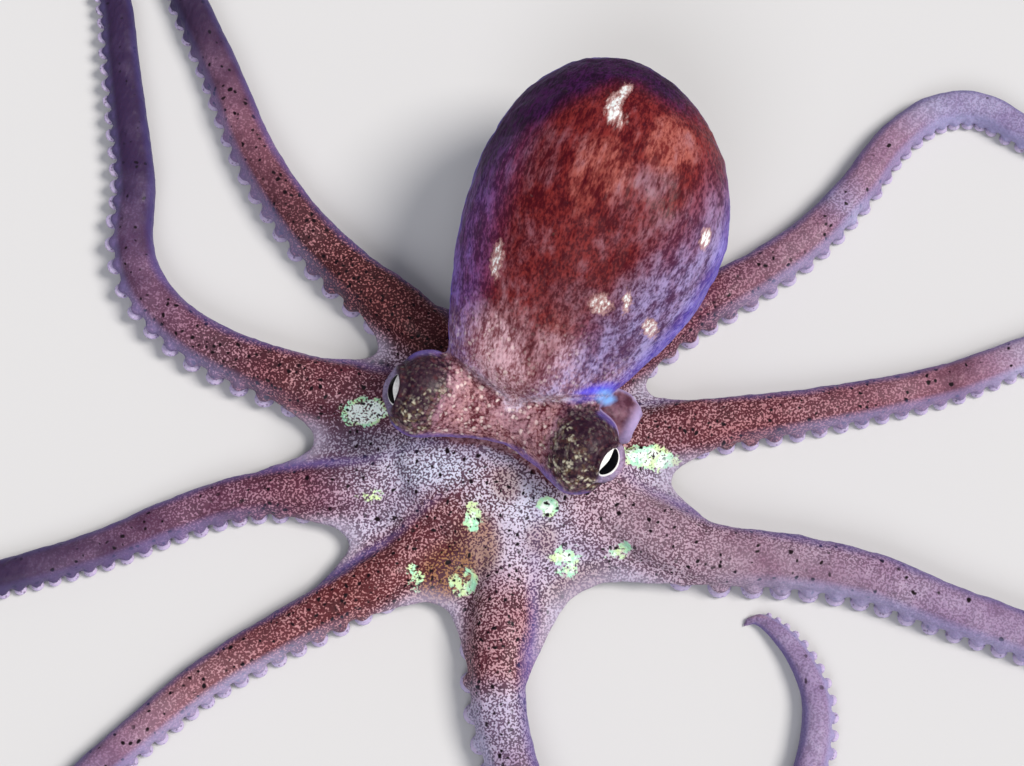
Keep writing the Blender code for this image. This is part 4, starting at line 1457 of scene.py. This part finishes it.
def shade_arm_sides(net, on, colour):
    """A pale front edge, painted violet shade along the back, painted shade on the deepest washes, and
    a pale under side.
    """
    sideways = on.front * 4.0 - 2.0
    edge = on.ridge * net.step(on.share, 0.10, 0.30) * net.step(sideways, 0.55, 0.95)
    edge *= net.step(on.wash, 0.4, 0.95, 0.65, 0.35)
    colour = net.mix(edge, colour, net.mix(net.step(on.wash, 0.3, 0.9), FRONT_LILAC, FRONT_VIOLET))
    # Painted violet shade along each arm's back side, lilac near the root
    back = on.broad * 0.5 + sideways + net.step(on.share, 0.25, 0.0, 0.0, 0.28)
    back = net.step(back, -0.22, -0.72) * net.step(on.ridge, 0.3, 0.8)
    back *= net.step(on.share, 0.0, 0.10, 0.15, 0.62)
    colour = net.mix(back, colour, net.mix(net.step(on.share, 0.05, 0.35), BACK_SHADE_LILAC, BACK_SHADE_VIOLET))
    # Painted shade on the deepest washes, over the arms' ridges
    colour = net.mix(net.step(on.wash, 0.8, 1.0) * on.ridge * 0.62, colour, WASH_SHADE_PURPLE)
    return net.mix(net.step(on.up, -0.3, -0.8) * 0.5, colour, PALE_TISSUE)


def streak_pattern(net, on):
    """0 in the dark streaks and 1 in the light ones: along the mantle, and in grains on the head."""
    hatch, grain = net.noise(on.streaked, 0.22, 2.5, 0.6), net.noise(on.place, 0.28, 2.5, 0.6)
    fine = hatch * (1.0 - on.head) + grain * on.head
    strand = net.noise(on.streaked, 0.55) - 0.5
    return net.step(on.uneven * 0.45 + strand * 0.55 + fine * 0.85 + 0.075, 0.33, 0.71)


def body_colour(net, on):
    """Mantle and head: patches of colour in fine streaks, a painted violet side glow and painted
    shade.
    """
    body = {name: net.mix(on.hatch, *pair) for name, pair in BODY_COLOURS.items()}
    skin = body["mantle"]
    for name, ragged, low, high in (
        ("glow", 1.6, 0.20, 1.00), ("streak", 1.7, 0.0, 1.15), ("nape", 0.8, 0.1, 0.9),
    ):
        patch = net.step(on.uneven * ragged + getattr(on, name), low, high)
        skin = net.mix(patch, skin, body[name])
    # A painted violet glow on the mantle's sides, paler on the side towards the key light
    side_glow_share = on.haze * net.step(on.uneven, -0.3, 0.3, 0.45, 0.85)
    side_glow_colours = [net.mix(on.haze_light, *pair) for pair in zip(SIDE_GLOW_VIOLET, SIDE_GLOW_LILAC)]
    skin = net.mix(side_glow_share, skin, net.mix(on.hatch, *side_glow_colours))
    blotched = net.step(on.patchy * 0.6 + on.broad, 0.70, 1.0, 0.0, 0.55)
    blotched = net.most(blotched, net.step(on.bulge, 0.0, 0.35, 0.0, 0.8))
    skin = net.mix(on.head, skin, net.mix(blotched, body["head"], body["brow"]))
    skin = net.mix(on.hood * net.step(on.hatch, 0.0, 1.0, 0.25, 0.95), skin, HOOD_LILAC)
    # Painted shade over the mantle's far end and its side away from the key light
    return net.mix(net.step(on.uneven * 0.5 + on.dusk, 0.05, 0.95), skin, body["dusk"])


def add_bulges(net, groups, on, skin):
    """The dark bulges over the eyes, with olive grains gathered on their gilded parts."""
    dark = net.step(on.torn * 1.9 + on.bulge, 0.20, 0.68)
    mottle = net.noise(on.place, 0.6, 2.0, 0.6)
    shade = net.mix(net.step(mottle, 0.50, 0.72), MAROON, BULGE_RED)
    skin = net.mix(dark * 0.97, skin, shade)
    gathered = net.step(net.noise(on.place, 1.0), 0.42, 0.58, 0.22, 1.3)
    olive = net.step(on.torn * 2.4 + on.gilded, 0.20, 0.85, 0.06, 1.0) * dark * gathered
    skin = net.mix(olive * net.step(mottle, 0.42, 0.62, 0.0, 0.7), skin, OLIVE_GOLD)
    gilt, tone = cells(net, groups, on.place, *GILT_GRAINS)
    gilt *= net.step(tone, 0.5, 1.0) * olive * net.step(on.bulge, 0.0, 0.4)
    skin = net.mix(gilt, skin, FLECK_OLIVE)
    glint = net.step(net.noise(on.place, 0.46, 1.0), 0.54, 0.74) * dark
    return net.mix(glint * (olive * 0.55 + gathered * 0.06), skin, FLECK_OLIVE)


def add_flecks(net, groups, on, skin):
    """Granules on the head and the nape, and the mantle's pale flecks with frayed edges."""
    granules, tone = cells(net, groups, on.place, *HEAD_GRANULES)
    granule = net.mix(net.step(tone, 0.0, 0.45), GRANULE_RED, GRANULE_PINK)
    granule = net.mix(net.step(tone, 0.76, 0.98), granule, GRANULE_GOLD)
    granules *= net.most(on.head * (0.64 - on.bulge * 0.58), on.nape * 0.4)
    skin = net.mix(granules, skin, granule)
    frayed = (net.noise(on.streaked, 0.35, 4.0, 0.7) - 0.5) * 2.2 + on.fleck
    inside = net.step(on.fleck, 0.0, 0.25)
    skin = net.mix(net.step(frayed, 0.15, 0.70) * inside * 0.85, skin, FLECK_GOLD)
    return net.mix(net.step(frayed, 0.60, 1.05) * inside * 0.95, skin, CREAM)


def add_edges(net, on, skin):
    """The funnel, a painted violet rim glow, its under side, painted blue gleams and the lids."""
    tube = net.mix(net.step(on.patchy, 0.35, 0.65), *FUNNEL_BROWN)
    # The funnel's pale lip, and a painted rim glow where it turns away from the camera
    tube_edge = net.most(on.funnel_lip, net.step(on.facing, 0.62, 0.20))
    skin = net.mix(on.funnel, skin, net.mix(tube_edge * 0.75, tube, FUNNEL_LILAC))
    # A painted violet rim glow where the skin turns away from the camera, brighter where it faces away
    # from the key light
    above = net.step(on.head * -0.30 + on.facing, 0.28, 0.02)
    below = net.step(on.head * -0.14 + on.facing, -0.20, -0.04)
    line = above * below * on.edging * net.step(on.patchy, 0.2, 0.7, 1.0, 0.6)
    rim_glow_colour = net.mix(net.step(on.lit, 0.2, -0.6), RIM_GLOW_BLUE, RIM_GLOW_BRIGHT)
    skin = net.mix(line * 0.78, skin, net.mix(on.head, rim_glow_colour, RIM_GLOW_LILAC))
    under_side = net.mix(on.hatch, MAUVE, PALE_TISSUE)
    skin = net.mix(net.step(on.up, -0.1, -0.6) * 0.65, skin, under_side)
    # Painted blue gleams, and their brightest cores
    skin = net.mix(on.gleam * 0.7 * net.step(on.facing, -0.3, 0.0), skin, GLOW_BLUE)
    skin = net.mix(on.core * 0.85, skin, GLEAM_CORE_BLUE)
    return net.mix(on.lid * net.step(on.hatch, 0.0, 1.0, 0.45, 0.75), skin, LID_MAUVE)


def make_skin_material(groups):
    material, net, shader = new_material("octopus_skin", SKIN_FINISH)
    on = skin_marks(net)
    on.hatch = streak_pattern(net, on)
    arms = add_arm_pigment(net, groups, on, arm_tissue(net, on))
    arms = shade_arm_sides(net, on, arms)
    body = add_bulges(net, groups, on, body_colour(net, on))
    body = add_flecks(net, groups, on, body)
    body = add_edges(net, on, body)
    colour = net.mix(net.most(on.mantle, on.head, on.funnel), arms, body)
    colour = net.mix(on.rim * 0.55, colour, WEB_RIM)
    net.feed(shader.inputs["Base Color"], colour)
    rough = on.dusk * 0.22 + net.step(on.patchy, 0.2, 0.8, 0.38, 0.58)
    net.feed(shader.inputs["Roughness"], rough)
    add_relief(net, groups, shader, on.streaked, 1.0, 0.00012)
    return material


def make_sucker_material(groups):
    material, net, shader = new_material("sucker_skin", SUCKER_FINISH)
    place = net.millimetres()
    pale = net.mix(net.noise(place, 1.4), (0.42, 0.35, 0.56, 1), (0.60, 0.50, 0.64, 1))
    dots, _ = cells(net, groups, place, *SUCKER_DOTS)
    net.feed(shader.inputs["Base Color"], net.mix(dots * 0.6, pale, GREY_PURPLE))
    add_relief(net, groups, shader, place, 1.0, 0.00005)
    return material


# ------------------------------------------------------------------------------ suckers and eyeballs

def model_sucker():
    """One sucker of unit radius, mouth down, standing on z = 0."""
    first = SUCKER_PROFILE[0]
    sucker = add("circle", "sucker", vertices=SUCKER_SIDES, radius=first[0], fill_type="NGON",
                 location=(0, 0, first[1]))
    place_and_apply(sucker, sucker.matrix_world.copy())
    bpy.ops.object.mode_set(mode="EDIT")
    bpy.ops.mesh.select_all(action="SELECT")
    for old, new in zip(SUCKER_PROFILE, SUCKER_PROFILE[1:]):
        bpy.ops.mesh.extrude_region_move(
            TRANSFORM_OT_translate={"value": (0, 0, new[1] - old[1])}
        )
        grow = new[0] / old[0]
        bpy.ops.transform.resize(value=(grow, grow, 1), center_override=(0, 0, new[1]))
    bpy.ops.mesh.select_all(action="SELECT")
    bpy.ops.mesh.normals_make_consistent(inside=False)
    bpy.ops.object.mode_set(mode="OBJECT")
    return sucker


def add_suckers(arm, sucker, material):
    placings = []
    for place, axis, radius in arm.suckers():
        turn = Vector((0, 0, 1)).rotation_difference(axis).to_matrix()
        mouth = np.array(place) - np.array(axis) * SUCKER_SINK * radius
        placings.append((radius, turn, mouth))
    suckers = add_copies(f"{arm.name}_suckers", sucker, placings)
    rest_on_floor(suckers)
    suckers.data.materials.append(material)
    suckers.data.shade_smooth()
    return suckers


PUPIL = (38, 15)  # half angles of the pupil, in degrees
PUPIL_LIFT = 7  # degrees that its ends bend upwards
EYE_SILVER = ((0.80, 0.78, 0.74, 1), (0.98, 0.96, 0.92, 1))
EYE_RINGS = (  # from where to where in the pupil's own reach, and the colour: iris edge, dark, pupil
    (5.5, 9.0, (0.40, 0.20, 0.20, 1)),
    (9.0, 20.0, (0.05, 0.02, 0.04, 1)),
    (1.12, 0.96, (0.002, 0.002, 0.003, 1)),
)


def add_eyeball(side):
    ball = add("uv_sphere", f"eyeball_{side}", segments=96, ring_count=64, radius=EYE_RADIUS)
    look, sideways, up = eye_axes(side)
    turn = Matrix((look, sideways, up)).transposed().to_4x4()
    place_and_apply(ball, Matrix.Translation(eye_centre(side)) @ turn)
    along, across, _ = eye_angles(side, points_of(ball))
    store(ball, "eye", 0.5 + along / 4, 0.5 + across / 4, 0, 1)
    ball.data.shade_smooth()
    return ball


def make_eye_material():
    """A dark bean of a pupil across a silvery iris, under a clear wet coat."""
    material, net, shader = new_material("octopus_eye", EYE_FINISH)
    raw_along, raw_across, _, _ = net.attribute("eye")
    along = (raw_along - 0.5) * (4 / math.radians(PUPIL[0]))
    across = (raw_across - 0.5) * (4 / math.radians(PUPIL[1]))
    across -= abs(along) ** 2.0 * (PUPIL_LIFT / PUPIL[1])
    reach = abs(along) ** 3.0 + abs(across) ** 2.4
    grain = net.noise(net.millimetres(), 0.3, 4.0, 0.7)
    colour = net.mix(net.step(grain, 0.35, 0.7), *EYE_SILVER)
    for start, stop, ring in EYE_RINGS:
        colour = net.mix(net.step(reach, start, stop), colour, ring)
    net.feed(shader.inputs["Base Color"], colour)
    return material


# ------------------------------------------------------------------------------ stage, lights, camera

def add_floor():
    floor = add("plane", "floor", size=8)
    floor.data.materials.append(new_material("pale_floor", FLOOR_FINISH)[0])


def add_light(name, place, breadth, strength, colour=(1, 1, 1)):
    """A soft far light, its breadth in degrees, so that the floor is as pale far off as near by."""
    lamp = bpy.data.lights.new(name, "SUN")
    lamp.angle = math.radians(breadth)
    lamp.energy = strength
    lamp.color = colour
    obj = bpy.data.objects.new(name, lamp)
    obj.location = place
    aim = Vector((0, 0, 0.01)) - obj.location
    obj.rotation_euler = aim.to_track_quat("-Z", "Y").to_euler()
    bpy.context.scene.collection.objects.link(obj)


def add_lights():
    world = bpy.data.worlds.new("studio")
    world.use_nodes = True
    world.node_tree.nodes["Background"].inputs["Color"].default_value = (0.86, 0.90, 1.0, 1)
    world.node_tree.nodes["Background"].inputs["Strength"].default_value = 0.34
    bpy.context.scene.world = world
    add_light("key_light", (0.42, 0.02, 0.56), 25, 3.05, (1.0, 0.97, 0.94))
    add_light("fill_light", (-0.15, -0.50, 0.55), 34, 1.07, (0.92, 0.94, 1.0))


CAMERA_AIM = Vector((0.2, 6.9, 2.5)) * MM  # from the mouth
CAMERA_DISTANCE = 0.26
CAMERA_UP = math.radians(75)
PICTURE_WIDTH = 0.1024  # of the plane through the point aimed at


def add_camera():
    camera = bpy.data.cameras.new("camera")
    camera.sensor_width = 36
    camera.lens = camera.sensor_width * CAMERA_DISTANCE / PICTURE_WIDTH
    camera.clip_start = 0.01
    camera.clip_end = 10
    obj = bpy.data.objects.new("camera", camera)
    back = Vector((0, -math.cos(CAMERA_UP), math.sin(CAMERA_UP)))
    obj.location = MOUTH + CAMERA_AIM + back * CAMERA_DISTANCE
    obj.rotation_euler = (math.pi / 2 - CAMERA_UP, 0, 0)
    bpy.context.scene.collection.objects.link(obj)
    bpy.context.scene.camera = obj


# ----------------------------------------------------------------------------------------- the model

def flesh_nodes():
    return [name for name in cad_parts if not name.startswith("eye_")]


def main():
    add_camera()
    add_lights()
    add_floor()
    groups = {
        "cells": pigment_cells_group(), "net": pigment_net_group(), "grain": wet_grain_group(),
    }
    arms = {name: Arm(name) for name in ARM_ROUTES}
    skin = fuse_skin(arms)
    paint_skin(skin, arms)
    skin.data.materials.clear()
    skin.data.materials.append(make_skin_material(groups))
    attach(settle(skin), "root")
    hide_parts(*flesh_nodes())
    sucker_material = make_sucker_material(groups)
    sucker = model_sucker()
    for arm in arms.values():
        piece = settle(add_suckers(arm, sucker, sucker_material))
        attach(piece, "root")
    bpy.data.objects.remove(sucker)
    eye_material = make_eye_material()
    for side in EYES:
        ball = add_eyeball(side)
        ball.data.materials.append(eye_material)
        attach(settle(ball), "root")
        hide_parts(f"eye_{side}")


main()
bpy.context.scene.view_settings.view_transform = "Standard"
